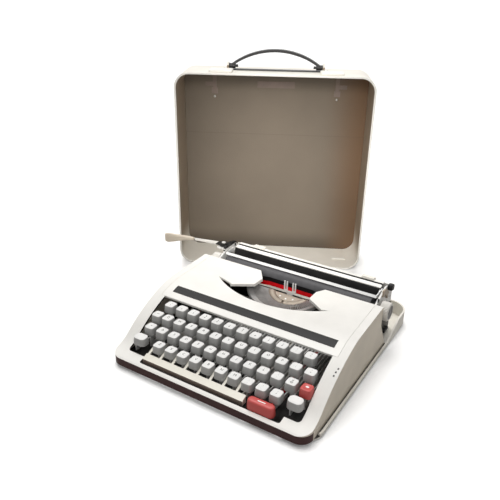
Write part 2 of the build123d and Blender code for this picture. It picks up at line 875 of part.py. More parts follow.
# Carriage frame: end plates, two sliding rods and the grooved rear cover with the margin rail
rail_front = 97.0
rail_rear = 102.7
rail_top = 82.0
groove_width = 3.5
groove_depth = 2.5
left_plate_x = middle_x - end_plate_offset - end_plate_thickness / 2
right_plate_x = middle_x + end_plate_offset - end_plate_thickness / 2
with BuildPart() as carriage_frame:
    for plate_start in (left_plate_x, right_plate_x):
        with BuildSketch(Plane.YZ.offset(plate_start)):
            with BuildLine():
                Polyline(
                    (end_plate_front, end_plate_bottom + 4),
                    (end_plate_front, 72.5),
                    (bail_pivot_y, 84.0),
                    (100.0, 80.0),
                    (115.0, 64.0),
                    (115.0, end_plate_bottom),
                    (end_plate_front + 6, end_plate_bottom),
                    close=True,
                )
            make_face()
            with Locations((platen_y, platen_z)):
                Circle(platen_core_radius + running_gap, mode=Mode.SUBTRACT)
        extrude(amount=end_plate_thickness)
    inner_left = left_plate_x + end_plate_thickness
    inner_length = right_plate_x - inner_left
    for pin_start in (inner_left, right_plate_x - 4.6):
        with BuildSketch(Plane.YZ.offset(pin_start)):
            with Locations((bail_pivot_y, bail_pivot_z)):
                Circle(bail_pin_radius)
        extrude(amount=4.6)
    with BuildSketch(Plane.YZ.offset(right_plate_x + end_plate_thickness)):
        with Locations((release_pivot_y, release_pivot_z)):
            Circle(bail_pin_radius)
    extrude(amount=3.0)
    with BuildSketch(Plane.YZ.offset(inner_left)):
        with Locations((rod_front_y, rod_z), (rod_rear_y, rod_z)):
            Circle(rod_radius)
    extrude(amount=inner_length)
    cover_start = middle_x - carriage_cover_width / 2
    with BuildSketch(Plane.YZ.offset(inner_left)):
        with BuildLine():
            Polyline((102.4, 80.8), (104.3, 79.8), (107.5, 66.0), (105.5, 65.5), close=True)
        make_face()
    extrude(amount=inner_length)
    with BuildSketch(Plane.YZ.offset(cover_start)):
        with BuildLine():
            groove_front, groove_rear = rail_front - groove_width, rail_front
            Polyline(
                (87.4, rail_top - 2.1),
                (groove_front, rail_top - 0.4),
                (groove_front, rail_top - groove_depth),
                (groove_rear, rail_top - groove_depth),
                (groove_rear, rail_top),
                (rail_rear, rail_top),
                (rail_rear + 2.1, rail_top - 2.6),
                (rail_rear + 0.7, rail_top - 3.6),
                (rail_rear - 0.7, rail_top - 1.5),
                (groove_rear + 1.4, rail_top - 1.5),
                (groove_rear + 1.4, rail_top - groove_depth - 1.5),
                (groove_front - 1.4, rail_top - groove_depth - 1.5),
                (groove_front - 1.4, rail_top - 2.3),
                (87.8, rail_top - 3.5),
                close=True,
            )
        make_face()
    extrude(amount=carriage_cover_width)
    bracket_left = left_plate_x - 15.0
    with BuildSketch(Plane.XY.offset(79.0)):
        with Locations(((bracket_left + left_plate_x) / 2, 78.0)):
            Rectangle(left_plate_x - bracket_left, 17.0)
    extrude(amount=2.2)
    with BuildSketch(Plane.XY.offset(81.2)):
        with Locations((left_plate_x - 8.0, 78.0)):
            Circle(3.0)
    extrude(amount=6.0)
save(carriage_frame, "carriage_frame")

# Paper table: dark sheet behind the platen
with BuildPart() as paper_table:
    with BuildSketch(Plane.YZ.offset(middle_x - platen_length / 2 - 1)):
        with BuildLine():
            Polyline((68.5, 47.4), (76.5, 51.5), (80.0, 60.0), (85.6, 79.0))
            offset(amount=table_thickness / 2, kind=Kind.INTERSECTION, mode=Mode.REPLACE)
        make_face()
    extrude(amount=platen_length + 2)
    for plate_side in (inner_left, right_plate_x - 4.0):
        with BuildSketch(Plane.YZ.offset(plate_side)):
            with Locations((80.5, 62.0)):
                Rectangle(5.0, 7.0)
        extrude(amount=4.0)
save(paper_table, "paper_table")

# Platen: rubber roller on its shaft, with the line-space ratchet at the left end
with BuildPart() as platen:
    with BuildSketch(Plane.YZ.offset(middle_x - platen_length / 2)):
        with Locations((platen_y, platen_z)):
            Circle(platen_radius)
    extrude(amount=platen_length)
    shaft_end = knob_outer_face - middle_x - knob_length
    with BuildSketch(Plane.YZ.offset(middle_x - shaft_end)):
        with Locations((platen_y, platen_z)):
            Circle(platen_core_radius)
    extrude(amount=2 * shaft_end)
    with BuildSketch(Plane.YZ.offset(middle_x - platen_length / 2 - 3.2)):
        with Locations((platen_y, platen_z)):
            Circle(9.0)
            with PolarLocations(9.2, ratchet_teeth):
                Rectangle(1.6, 1.2)
    extrude(amount=2.0)
save(platen, "platen")

with BuildPart() as platen_knobs:
    for knob_start in (knob_outer_face - knob_length, 2 * middle_x - knob_outer_face):
        with BuildSketch(Plane.YZ.offset(knob_start)):
            with Locations((platen_y, platen_z)):
                Circle(knob_radius)
        extrude(amount=knob_length)
    for knob_end in (knob_outer_face, 2 * middle_x - knob_outer_face):
        rim = platen_knobs.faces().sort_by(lambda face: abs(face.center().X - knob_end))[0]
        chamfer(rim.edges(), 1.0)
save(platen_knobs, "platen_knobs")

# Paper bail: flat bar across the platen on two swinging arms
with BuildPart() as paper_bail:
    bail_lean = math.radians(60.0)
    bar_plane_origin = (middle_x - bail_half_length, bail_y, bail_z)
    with BuildSketch(Plane(origin=bar_plane_origin, x_dir=(0, 1, 0), z_dir=(1, 0, 0))):
        with Locations(Location((0, 0), 60.0)):
            Rectangle(bail_bar_height, bail_bar_thickness)
    extrude(amount=2 * bail_half_length)
    for side in (-1, 1):
        arm_start = middle_x + side * bail_half_length - (1.2 if side > 0 else 0.0)
        with BuildSketch(Plane.YZ.offset(arm_start)):
            with BuildLine():
                Polyline(
                    (bail_y - 1.2, bail_z - 1.5),
                    (bail_y + 1.0, bail_z + 1.8),
                    (bail_pivot_y + 1.0, bail_pivot_z + 3.5),
                    (bail_pivot_y + 3.0, bail_pivot_z - 2.5),
                    (bail_pivot_y - 3.0, bail_pivot_z - 3.0),
                    close=True,
                )
            make_face()
            with Locations((bail_pivot_y, bail_pivot_z)):
                Circle(bail_pin_radius + running_gap, mode=Mode.SUBTRACT)
        extrude(amount=1.2)
save(paper_bail, "paper_bail")

# Carriage return lever: boss, thin arm and broad grip
with BuildPart() as return_lever:
    pivot_x = left_plate_x - 8.0
    pivot_y = 78.0
    lever_z = 81.5
    with BuildSketch(Plane.XY.offset(lever_z)):
        with Locations((pivot_x, pivot_y)):
            RegularPolygon(6.5, 16)
    extrude(amount=5.0)
    with BuildSketch(Plane.XY.offset(lever_z + 1.5)):
        with BuildLine():
            Polyline(
                (pivot_x - 2, pivot_y + 4.5),
                (-185.0, 68.5),
                (-186.0, 64.5),
                (pivot_x - 2, pivot_y - 5.0),
                close=True,
            )
        make_face()
    extrude(amount=2.0)
    grip_sections = [
        (-181.0, 67.0, lever_z + 2.5, 4.5),
        (-196.0, 64.0, lever_z + 1.8, 6.5),
        (-219.0, 57.0, lever_z - 1.2, 13.0),
        (-223.5, 55.6, lever_z - 1.2, 9.0),
    ]
    for start, end in zip(grip_sections, grip_sections[1:]):
        with BuildSketch(Plane.YZ.offset(start[0])) as near_end:
            with Locations((start[1], start[2])):
                Rectangle(3.6, start[3])
        with BuildSketch(Plane.YZ.offset(end[0])) as far_end:
            with Locations((end[1], end[2])):
                Rectangle(3.6, end[3])
        loft([near_end.sketch, far_end.sketch], ruled=True)
    with BuildSketch(Plane.XY.offset(lever_z)):
        with Locations((pivot_x, pivot_y)):
            Circle(3.0 + running_gap)
    extrude(amount=6.0, mode=Mode.SUBTRACT)
save(return_lever, "return_lever")

# Paper release lever at the right end
with BuildPart() as paper_release_lever:
    release_x = right_plate_x + end_plate_thickness + 0.4
    with BuildSketch(Plane.YZ.offset(release_x)):
        with BuildLine():
            Polyline((95.5, 67.0), (94.0, 74.5), (82.0, 84.0), (73.0, 85.5),
                     (72.0, 78.5), (80.0, 76.5), (87.0, 70.0), (89.0, 66.0), close=True)
        make_face()
        with Locations((release_pivot_y, release_pivot_z)):
            Circle(bail_pin_radius + running_gap, mode=Mode.SUBTRACT)
    extrude(amount=2.0)
    with BuildSketch(Plane.YZ.offset(release_x)):
        with Locations((75.0, 81.0)):
            Rectangle(9.0, 9.0)
    extrude(amount=2.2)
save(paper_release_lever, "paper_release_lever")

# Margin stops: two blocks that slide along the margin rail
stop_width = 18.0
stop_gap = 0.3
for stop_x, stop_name in ((-85.0, "left"), (92.0, "right")):
    with BuildPart() as margin_stop:
        with BuildSketch(Plane.YZ.offset(stop_x)):
            with BuildLine():
                Polyline(
                    (rail_front + 0.2, rail_top + stop_gap),
                    (rail_front + 1.0, rail_top + 3.0),
                    (rail_rear + 0.9, rail_top + 2.8),
                    (rail_rear + 4.3, rail_top - 2.0),
                    (rail_rear + 7.1, 66.0),
                    (rail_rear + 5.4, 66.0),
                    (rail_rear + 2.7, rail_top - 2.5),
                    (rail_rear + 0.2, rail_top + stop_gap),
                    close=True,
                )
            make_face()
        extrude(amount=stop_width)
    save(margin_stop, f"margin_stop_{stop_name}")

# Mainspring drum that pulls the carriage, and the warning bell
with BuildPart() as mainspring_drum:
    with BuildSketch(Plane.XY.offset(drum_base + 0.3)):
        with Locations((drum_x, drum_y)):
            Circle(20.0)
            Circle(spool_pin_radius + running_gap, mode=Mode.SUBTRACT)
    extrude(amount=12.0)
save(mainspring_drum, "mainspring_drum")

bell_rim, bell_crown, bell_height, bell_wall, bell_sides = 14.0, 6.0, 9.0, 1.4, 36
bell_level = bell_base + 3.5
with BuildPart() as bell:
    for shrink, mode in ((0.0, Mode.ADD), (bell_wall, Mode.SUBTRACT)):
        with BuildSketch(Plane.XY.offset(bell_level)):
            with Locations((bell_x, bell_y)):
                RegularPolygon(bell_rim - shrink, bell_sides)
        with BuildSketch(Plane.XY.offset(bell_level + bell_height - shrink)):
            with Locations((bell_x, bell_y)):
                RegularPolygon(bell_crown - shrink / 2, bell_sides)
        loft(ruled=True, mode=mode)
    with BuildSketch(Plane.XY.offset(bell_base + 10)):
        with Locations((bell_x, bell_y)):
            RegularPolygon(spool_pin_radius, 12)
    extrude(amount=bell_level + bell_height - bell_base - 10.5)
save(bell, "bell")


# Case lid: upright shell in its own turned plane, open side towards the typist
turn = math.radians(lid_turn)
lid_along = Vector(math.cos(turn), math.sin(turn), 0)
lid_front = Vector(math.sin(turn), -math.cos(turn), 0)
lid_base = Vector(lid_corner_x, lid_corner_y, 0) - lid_front * lid_depth
lid_plane = Plane(origin=lid_base, x_dir=lid_along, z_dir=lid_front)
with BuildPart() as lid_shell:
    with BuildSketch(lid_plane):
        with Locations((lid_width / 2, lid_height / 2)):
            RectangleRounded(lid_width, lid_height, lid_corner)
    extrude(amount=lid_depth)
    back_edges = lid_shell.edges().filter_by(
        lambda edge: abs(lid_plane.to_local_coords(edge.center()).Z) < 0.01
    )
    chamfer(back_edges, lid_back_edge)
    with BuildSketch(lid_plane.offset(lid_wall)):
        with Locations((lid_width / 2, lid_height / 2)):
            RectangleRounded(
                lid_width - 2 * lid_wall, lid_height - 2 * lid_wall, lid_corner - lid_wall
            )
    extrude(amount=lid_depth, mode=Mode.SUBTRACT)
    for side in (-1, 1):
        ear_centre = lid_width / 2 + side * (handle_span / 2 + 7.0)
        ear_plane = Plane(
            origin=lid_plane.from_local_coords((ear_centre - 1.5, 0, lid_depth / 2)),
            x_dir=-lid_front,
            z_dir=lid_along,
        )
        with BuildSketch(ear_plane):
            with Locations((0, lid_height + 2.0)):
                Rectangle(12.0, 5.0)
            with Locations((0, lid_height + handle_axis_height)):
                Circle(6.0)
                Circle(handle_pin_radius + running_gap, mode=Mode.SUBTRACT)
            with Locations((0, lid_height - 6.0)):
                Rectangle(14.0, 11.0, mode=Mode.SUBTRACT)
        extrude(amount=3.0)
save(lid_shell, "lid_shell")

# Carrying handle: arched strap that swings on a pin at each end
with BuildPart() as lid_handle:
    mid = lid_width / 2
    foot = lid_height + handle_axis_height
    half_span = handle_span / 2
    with BuildSketch(lid_plane.offset(lid_depth / 2 - handle_width / 2)):
        with BuildLine():
            ThreePointArc(
                (mid - half_span + 3.0, foot + 2.0),
                (mid, foot + handle_rise),
                (mid + half_span - 3.0, foot + 2.0),
            )
            Line((mid + half_span - 3.0, foot + 2.0), (mid + half_span + 3.0, foot + 2.0))
            ThreePointArc(
                (mid + half_span + 3.0, foot + 2.0),
                (mid, foot + handle_rise + handle_thickness),
                (mid - half_span - 3.0, foot + 2.0),
            )
            Line((mid - half_span - 3.0, foot + 2.0), (mid - half_span + 3.0, foot + 2.0))
        make_face()
    extrude(amount=handle_width)
    for side in (-1, 1):
        lug_centre = mid + side * half_span
        for reach, radius in ((5.0, 4.0), (9.0, handle_pin_radius)):
            lug_plane = Plane(
                origin=lid_plane.from_local_coords((lug_centre - reach, 0, lid_depth / 2)),
                x_dir=-lid_front,
                z_dir=lid_along,
            )
            with BuildSketch(lug_plane):
                with Locations((0, foot)):
                    if radius > handle_pin_radius:
                        RegularPolygon(radius, 12)
                    else:
                        Circle(radius)
            extrude(amount=2 * reach)
save(lid_handle, "lid_handle")

# Lid catches: two sliding hooks inside the top corners
with BuildPart() as lid_catches:
    for catch_x in (54.0, lid_width - 54.0):
        with BuildSketch(lid_plane.offset(lid_wall + 0.3)):
            with Locations((catch_x, lid_height - 28.0)):
                Rectangle(6.0, 30.0)
            with Locations((catch_x, lid_height - 40.0)):
                Rectangle(10.0, 9.0)
        extrude(amount=2.5)
save(lid_catches, "lid_catches")
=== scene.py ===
import math
from functools import cached_property

import bmesh
import bpy
import numpy as np
from bpy.props import FloatProperty, FloatVectorProperty, IntProperty, PointerProperty
from mathutils import Matrix, Vector


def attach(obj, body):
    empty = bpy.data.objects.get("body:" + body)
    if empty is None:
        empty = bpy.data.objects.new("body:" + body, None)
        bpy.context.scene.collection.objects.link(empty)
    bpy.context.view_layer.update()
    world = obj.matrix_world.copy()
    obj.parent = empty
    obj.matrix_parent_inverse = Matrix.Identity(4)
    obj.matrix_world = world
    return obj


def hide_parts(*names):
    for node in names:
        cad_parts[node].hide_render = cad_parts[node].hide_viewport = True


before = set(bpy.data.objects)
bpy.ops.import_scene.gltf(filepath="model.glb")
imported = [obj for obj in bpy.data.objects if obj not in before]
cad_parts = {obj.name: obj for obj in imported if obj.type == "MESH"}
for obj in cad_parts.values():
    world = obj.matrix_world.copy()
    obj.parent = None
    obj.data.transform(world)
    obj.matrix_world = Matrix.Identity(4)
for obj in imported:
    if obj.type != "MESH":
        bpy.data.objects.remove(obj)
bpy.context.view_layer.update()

bl_info = {
    "name": "Portable Typewriter Dress",
    "version": (1, 0, 0),
    "blender": (4, 5, 0),
    "location": "3D View > Sidebar > Typewriter",
    "description": "Finishes a portable typewriter, its case tray and its case lid",
    "category": "Object",
}

UP = np.array((0.0, 0.0, 1.0))
ACROSS = np.array((1.0, 0.0, 0.0))
BACK = np.array((0.0, 1.0, 0.0))

# Places and sizes taken over from the frame, in millimetres
KEY_PITCH = 19.05
FIRST_KEY_X = -106.0
ROW_STAGGER = (0.0, 9.525, 14.2875, 23.8125)
ROW_Y = tuple(-80.0 - 18.03 * row for row in range(4))
ROW_TOP = tuple(61.0 - 8.15 * row for row in range(4))
KEY_HALF, KEY_CORNER = 7.2, 3.6
SHIFT_X = (-113.0, 113.5)
RED_BAR = (78.5, -150.0, 0.0)
MIDDLE_X = 6.0
PLATEN = (64.0, 61.0)
CARRIAGE_LEFT, CARRIAGE_RIGHT = MIDDLE_X - 126.25, MIDDLE_X + 126.25
SPOOL_OFFSET, SPOOL_Y = 96.0, 20.0
BELL = (98.0, 100.0, 14.5)
CHEEK_START, CHEEK_END = np.array((-126.0, 29.5)), np.array((-50.0, 68.3))

# The type basket's own frame: its axis leans to the typist and passes the printing point
BASKET_TILT = math.radians(15.0)
BASKET_AXIS = np.array((0.0, -math.sin(BASKET_TILT), math.cos(BASKET_TILT)))
BASKET_INWARD = np.array((0.0, math.cos(BASKET_TILT), math.sin(BASKET_TILT)))
STRIKE_ANGLE = math.radians(35.0)
PRINTING_POINT = np.array((MIDDLE_X, PLATEN[0] - 13.3 * math.cos(STRIKE_ANGLE),
                           PLATEN[1] + 13.3 * math.sin(STRIKE_ANGLE)))
BASKET_CENTRE = PRINTING_POINT - BASKET_AXIS * 15.0

# The case lid's own frame
LID_TURN = math.radians(27.66)
LID_WIDTH, LID_HEIGHT, LID_DEPTH, LID_WALL = 312.0, 326.0, 80.0, 3.0
LID_ALONG = np.array((math.cos(LID_TURN), math.sin(LID_TURN), 0.0))
LID_FRONT = np.array((math.sin(LID_TURN), -math.cos(LID_TURN), 0.0))
LID_BASE = np.array((-252.6, 124.0, 0.0)) - LID_FRONT * LID_DEPTH

# Linear colours that several finishes share; the black is painted shade on undersides, in the key
# well and in the carriage groove
SHADE_BLACK = (0.012, 0.011, 0.011)
CASTING = (0.30, 0.255, 0.205)


# Settings

def colour_setting(name, description, default):
    """A colour in the sidebar, as a linear value."""
    return FloatVectorProperty(name=name, description=description, subtype="COLOR",
                               default=default)


def length_setting(name, description, default):
    """A length in the sidebar, in metres."""
    return FloatProperty(name=name, description=description, default=default,
                         subtype="DISTANCE", unit="LENGTH")


class FinishColours(bpy.types.PropertyGroup):
    """Colours of the finishes, as linear values."""

    cream: colour_setting("Case cream", "Moulded case tray and lid", (0.82, 0.79, 0.72))
    deck: colour_setting("Deck white", "Painted top surfaces", (0.80, 0.785, 0.75))
    # Painted shade: the side panels are the white paint as it looks in shade
    side: colour_setting("Side beige", "Painted side panels of the housing", (0.74, 0.675, 0.57))
    # Painted shade: the front band is the housing's paint as it looks in deep shade
    band: colour_setting("Front band brown", "Dark band along the front of the housing",
                         (0.060, 0.026, 0.025))
    # Painted shade: the taupe of the panel inside the lid is the cream lid as it looks in shade
    lining: colour_setting("Lid lining", "Cloth-grained panel inside the case lid",
                           (0.175, 0.146, 0.114))
    cap: colour_setting("Key cap grey", "Moulded key caps", (0.80, 0.795, 0.78))
    bar: colour_setting("Space bar cream", "Moulded space bar", (0.78, 0.75, 0.66))
    red: colour_setting("Red key", "Red keys", (0.74, 0.006, 0.006))
    tan: colour_setting("Lever tan", "Grips of the levers", (0.36, 0.29, 0.22))


class KeySettings(bpy.types.PropertyGroup):
    """Shape of the moulded key caps."""

    fit: length_setting("Fit", "How far the moulding stands outside the frame's cap", 0.00025)
    rim: length_setting("Rim height", "Height of the rim over the frame's flat top", 0.0009)
    dish: length_setting("Dish depth", "Depth of the finger dish below the rim", 0.0007)
    samples: IntProperty(
        name="Samples", description="Points round each cap", default=48, min=16, max=128,
    )


class StageSettings(bpy.types.PropertyGroup):
    """Camera and lamps."""

    lens: FloatProperty(
        name="Lens", description="Focal length on a 36 mm sensor", default=41.628,
        subtype="DISTANCE_CAMERA", unit="CAMERA",
    )
    camera_place: FloatVectorProperty(
        name="Camera place", description="Where the camera stands",
        subtype="TRANSLATION", unit="LENGTH", default=(0.33389, -0.59425, 0.463),
    )
    camera_yaw: FloatProperty(
        name="Yaw", description="Turn of the view to the left", subtype="ANGLE", default=0.552,
    )
    camera_pitch: FloatProperty(
        name="Pitch", description="Tilt of the view downwards", subtype="ANGLE", default=0.445,
    )
    camera_roll: FloatProperty(
        name="Roll", description="Turn of the picture", subtype="ANGLE", default=0.017,
    )
    sun: FloatProperty(
        name="Sun strength", description="Strength of the broad soft sun lamp", default=1.85,
    )
    lid_lamp: FloatProperty(
        name="Lid lamp", description="Power of the soft lamp over the carriage",
        subtype="POWER", unit="POWER", default=0.42,
    )
    sky: FloatProperty(
        name="Sky strength", description="Strength of the soft light overhead", default=0.7,
    )


# Shader helpers

def set_inputs(tree, node, inputs):
    """Each input named or numbered takes a value or another node's socket."""
    for name, value in inputs.items():
        if isinstance(value, bpy.types.NodeSocket):
            tree.links.new(value, node.inputs[name])
        else:
            node.inputs[name].default_value = value


def add_node(tree, kind, inputs=None, **values):
    """Adds a node with its plain properties and its inputs."""
    made = tree.nodes.new(kind)
    for name, value in values.items():
        setattr(made, name, value)
    set_inputs(tree, made, inputs or {})
    return made


class Field:
    """A number that varies over a surface; arithmetic on it adds nodes.

    A comparison is one where it holds and zero elsewhere.
    """

    def __init__(self, tree, socket):
        self.tree, self.socket = tree, socket

    def step(self, operation, other=None):
        """One arithmetic node; the other side is a field or a number."""
        inputs = {0: self.socket}
        if other is not None:
            inputs[1] = other.socket if isinstance(other, Field) else float(other)
        made = add_node(self.tree, "ShaderNodeMath", inputs, operation=operation)
        return Field(self.tree, made.outputs[0])

    def __add__(self, other):
        return self.step("ADD", other)

    def __sub__(self, other):
        return self.step("SUBTRACT", other)

    def __rsub__(self, number):
        made = add_node(self.tree, "ShaderNodeMath", {0: number, 1: self.socket},
                        operation="SUBTRACT")
        return Field(self.tree, made.outputs[0])

    def __mul__(self, other):
        return self.step("MULTIPLY", other)

    def __gt__(self, other):
        return self.step("GREATER_THAN", other)

    def __lt__(self, other):
        return self.step("LESS_THAN", other)

    def __abs__(self):
        return self.step("ABSOLUTE")

    def either(self, other):
        """The greater of two fields."""
        return self.step("MAXIMUM", other)

    def fade(self, low, high, kind="SMOOTHSTEP"):
        """Zero below one limit and one above the other, in between a step of some kind."""
        made = add_node(self.tree, "ShaderNodeMapRange",
                        {"Value": self.socket, "From Min": low, "From Max": high},
                        interpolation_type=kind)
        return Field(self.tree, made.outputs["Result"])


def as_colour(value):
    """A socket as it is, or three numbers as an opaque colour."""
    return value if isinstance(value, bpy.types.NodeSocket) else (*value, 1.0)


class Surface:
    """A material in the making, with the object coordinates as fields.

    The frame comes with plain materials of its own, some with the same names. A finish made
    here is therefore found by its name in this class's table, not in Blender's.
    """

    made = {}

    def __init__(self, name):
        self.material = self.made[name] = bpy.data.materials.new(name)
        self.material.use_nodes = True
        self.tree = self.material.node_tree
        self.shader = self.tree.nodes["Principled BSDF"]
        place = add_node(self.tree, "ShaderNodeTexCoord")
        self.vector, self.normal = place.outputs["Object"], place.outputs["Normal"]
        self.x, self.y, self.z = self.split(self.vector)

    @cached_property
    def upward(self):
        """How far the surface faces up, from minus one to one."""
        return self.split(self.normal)[2]

    def split(self, vector):
        """The three parts of a vector as fields."""
        parts = add_node(self.tree, "ShaderNodeSeparateXYZ", {0: vector})
        return [Field(self.tree, socket) for socket in parts.outputs]

    def drift(self, colour, spread, scale):
        """A colour that drifts a little over the surface, and the noise that moves it."""
        noise = add_node(self.tree, "ShaderNodeTexNoise",
                         {"Vector": self.vector, "Scale": scale, "Detail": 4.0})
        ramp = add_node(self.tree, "ShaderNodeValToRGB", {"Fac": noise.outputs["Fac"]})
        for stop, place, share in zip(ramp.color_ramp.elements, (0.35, 0.65),
                                      (1.0 - spread, 1.0 + spread)):
            stop.position = place
            stop.color = (*[min(1.0, value * share) for value in colour], 1.0)
        return ramp.outputs["Color"], noise.outputs["Fac"]

    def blend(self, share, first, second):
        """Mixes two colours by a field between zero and one."""
        mix = add_node(self.tree, "ShaderNodeMix",
                       {0: share.socket, 6: as_colour(first), 7: as_colour(second)},
                       data_type="RGBA")
        return mix.outputs[2]

    def close(self, colour, noise, roughness=0.45, rough_spread=0.08, grain=0.08,
              grain_scale=1400.0, metallic=0.0, shine=0.5, stretch=None):
        """Gives the shader its colour, a gloss that follows the noise and a fine grain.

        The grain is a second noise as a bump, which may be stretched along one axis.
        """
        gloss = add_node(self.tree, "ShaderNodeMapRange", {
            "Value": noise, "To Min": max(0.03, roughness - rough_spread),
            "To Max": min(1.0, roughness + rough_spread),
        })
        vector = self.vector
        if stretch:
            vector = add_node(self.tree, "ShaderNodeMapping",
                              {"Vector": vector, "Scale": stretch}).outputs["Vector"]
        fine = add_node(self.tree, "ShaderNodeTexNoise",
                        {"Vector": vector, "Scale": grain_scale, "Detail": 3.0})
        relief = add_node(self.tree, "ShaderNodeBump", {
            "Height": fine.outputs["Fac"], "Strength": grain, "Distance": 0.0006})
        set_inputs(self.tree, self.shader, {
            "Base Color": colour, "Roughness": gloss.outputs["Result"], "Metallic": metallic,
            "Normal": relief.outputs["Normal"], "Specular IOR Level": shine,
        })


# Finishes

def housing_finish(colours):
    """White paint on top, with painted shade: beige side panels, a dark brown front band, and
    black undersides and key well.
    """
    paint = Surface("housing_paint")
    colour, noise = paint.drift(colours.deck, 0.03, 30.0)
    # Painted shade: the side panels, the front band, the undersides and the key well walls are
    # darker than the white paint
    upright = abs(paint.upward) < 0.25
    side = (abs(paint.x) > 0.1285) * upright
    band = (paint.z < 0.01515) * ((paint.y < -0.1460) * upright)
    key_well = (abs(paint.x) < 0.1275) * (abs(paint.upward) < 0.05) * (paint.y > -0.1572)
    inside = (paint.upward < -0.1).either(key_well)
    for share, tint, spread, scale in ((side, colours.side, 0.05, 25.0),
                                       (band, colours.band, 0.12, 60.0),
                                       (inside, SHADE_BLACK, 0.2, 60.0)):
        colour = paint.blend(share, colour, paint.drift(tint, spread, scale)[0])
    paint.close(colour, noise, 0.45, grain=0.10, grain_scale=1600.0, shine=0.25)


def cover_finish(colours):
    """White paint on the lift-off cover, with black painted shade underneath."""
    paint = Surface("cover_paint")
    deck, noise = paint.drift(colours.deck, 0.03, 30.0)
    black = paint.drift(SHADE_BLACK, 0.2, 60.0)[0]
    paint.close(paint.blend(paint.upward < -0.1, deck, black), noise, 0.42, grain=0.10,
                grain_scale=1600.0)


def tray_finish(colours):
    """Cream moulding whose floor under the machine is painted black as shade."""
    tray = Surface("tray_moulding")
    cream, noise = tray.drift(colours.cream, 0.04, 20.0)
    # Painted shade on the tray floor under the machine
    floor_shade = tray.drift((0.014, 0.013, 0.012), 0.3, 600.0)[0]
    floor = (tray.z > 0.0038) * (tray.z < 0.0042) * (tray.y < 0.075)
    tray.close(tray.blend(floor, cream, floor_shade), noise, 0.5, grain=0.35, grain_scale=1100.0)


def bar_finish(colours):
    """Cream space bar whose front face has thin moulded lines, painted dark brown as shade."""
    bar = Surface("space_bar_moulding")
    cream, noise = bar.drift(colours.bar, 0.03, 40.0)
    wave = add_node(bar.tree, "ShaderNodeTexWave",
                    {"Vector": bar.vector, "Scale": 190.0, "Distortion": 0.0},
                    bands_direction="Z")
    # Painted shade: the front face is dark brown, with the moulded lines in it
    shaded_front_lines = bar.blend(Field(bar.tree, wave.outputs["Fac"]), (0.10, 0.07, 0.055),
                      (0.27, 0.21, 0.175))
    bar.close(bar.blend(bar.y < -0.15295, cream, shaded_front_lines), noise, 0.4, grain_scale=1500.0)


def ribbon_finish(colours):
    """Inked cloth: black upper half, red lower half, with a fine weave."""
    cloth = Surface("ribbon_cloth")
    red, noise = cloth.drift((0.62, 0.006, 0.010), 0.12, 200.0)
    black = cloth.drift((0.006, 0.0055, 0.006), 0.2, 200.0)[0]
    cloth.close(cloth.blend(cloth.z > 0.0613, red, black), noise, 0.75, 0.1, 0.4, 4000.0,
                shine=0.1)


def cap_finish(colours):
    """Pale cap whose skirt is painted grey, at half the cap's colour, as shade on its sides."""
    cap = Surface("key_cap_grey")
    pale, noise = cap.drift(colours.cap, 0.03, 90.0)
    # Painted shade on the skirt, fading into the pale top
    skirt = cap.drift([value * 0.50 for value in colours.cap], 0.05, 90.0)[0]
    top = cap.upward.fade(0.15, 0.65, "LINEAR")
    cap.close(cap.blend(top, skirt, pale), noise, 0.42, 0.06, 0.06, 1500.0, shine=0.3)


def shade_panel_finish(colours):
    """Taupe panel inside the case lid, painted shade of the cream lid, with a faint pressed line;
    darker towards the bottom and browner towards the right-hand side, also painted shade.
    """
    lining = Surface("lid_lining")
    base = LID_BASE * 0.001
    along = ((lining.x - base[0]) * LID_ALONG[0]) + ((lining.y - base[1]) * LID_ALONG[1])
    # Painted shade: the panel's taupe, darker towards the bottom and browner towards the
    # right-hand side
    colour, noise = lining.drift(colours.lining, 0.05, 9.0)
    dark = lining.drift([value * 0.55 for value in colours.lining], 0.05, 9.0)[0]
    brown = lining.drift((0.17, 0.105, 0.062), 0.05, 9.0)[0]
    low = 1.0 - lining.z.fade(0.004, 0.04)
    pressed = (lining.z > 0.2142) * (lining.z < 0.2152) * 0.3
    for share, tint in ((low, dark), (along.fade(0.235, 0.312), brown), (pressed, dark)):
        colour = lining.blend(share, colour, tint)
    lining.close(colour, noise, 0.75, 0.06, 0.5, 700.0, shine=0.2)


def shell_finish(colours):
    """Cream lid whose inner side and top walls are painted darker and brown as shade, like the
    panel inside it.

    A face is an inner one where it faces the middle of the lid's open side.
    """
    shell = Surface("lid_moulding")
    cream, noise = shell.drift(colours.cream, 0.04, 20.0)
    # Painted shade on the inner side and top walls
    brown = shell.drift((0.33, 0.265, 0.20), 0.05, 20.0)[0]
    middle = (LID_BASE + LID_ALONG * 156.0 + UP * 163.0 + LID_FRONT * 78.0) * 0.001
    offset = add_node(shell.tree, "ShaderNodeVectorMath",
                      {0: shell.vector, 1: middle.tolist()}, operation="SUBTRACT")
    outward = add_node(shell.tree, "ShaderNodeVectorMath",
                       {0: offset.outputs[0], 1: shell.normal}, operation="DOT_PRODUCT")
    inner = (Field(shell.tree, outward.outputs["Value"]) < 0.0) * shell.z.fade(0.010, 0.060)
    shell.close(shell.blend(inner, cream, brown), noise, 0.5, grain=0.35, grain_scale=1100.0,
                shine=0.3)


def basket_finish(colours):
    """Bright steel bars whose roots take the casting's colour inside the segment's edge.

    The distance from the basket's axis comes from X and from Y and Z along its tilt.
    """
    bars = Surface("type_bar_steel")
    steel, noise = bars.drift((0.62, 0.61, 0.60), 0.1, 180.0)
    casting = bars.drift(CASTING, 0.12, 90.0)[0]
    across = bars.x - MIDDLE_X * 0.001
    inward = (bars.y * BASKET_INWARD[1] + bars.z * BASKET_INWARD[2]
              - np.dot(BASKET_CENTRE, BASKET_INWARD) * 0.001)
    root = (across * across + inward * inward).step("SQRT") < 0.0345
    bars.close(bars.blend(root, steel, casting), noise, 0.38, grain=0.12,
               metallic=((1.0 - root) * 0.7).socket)


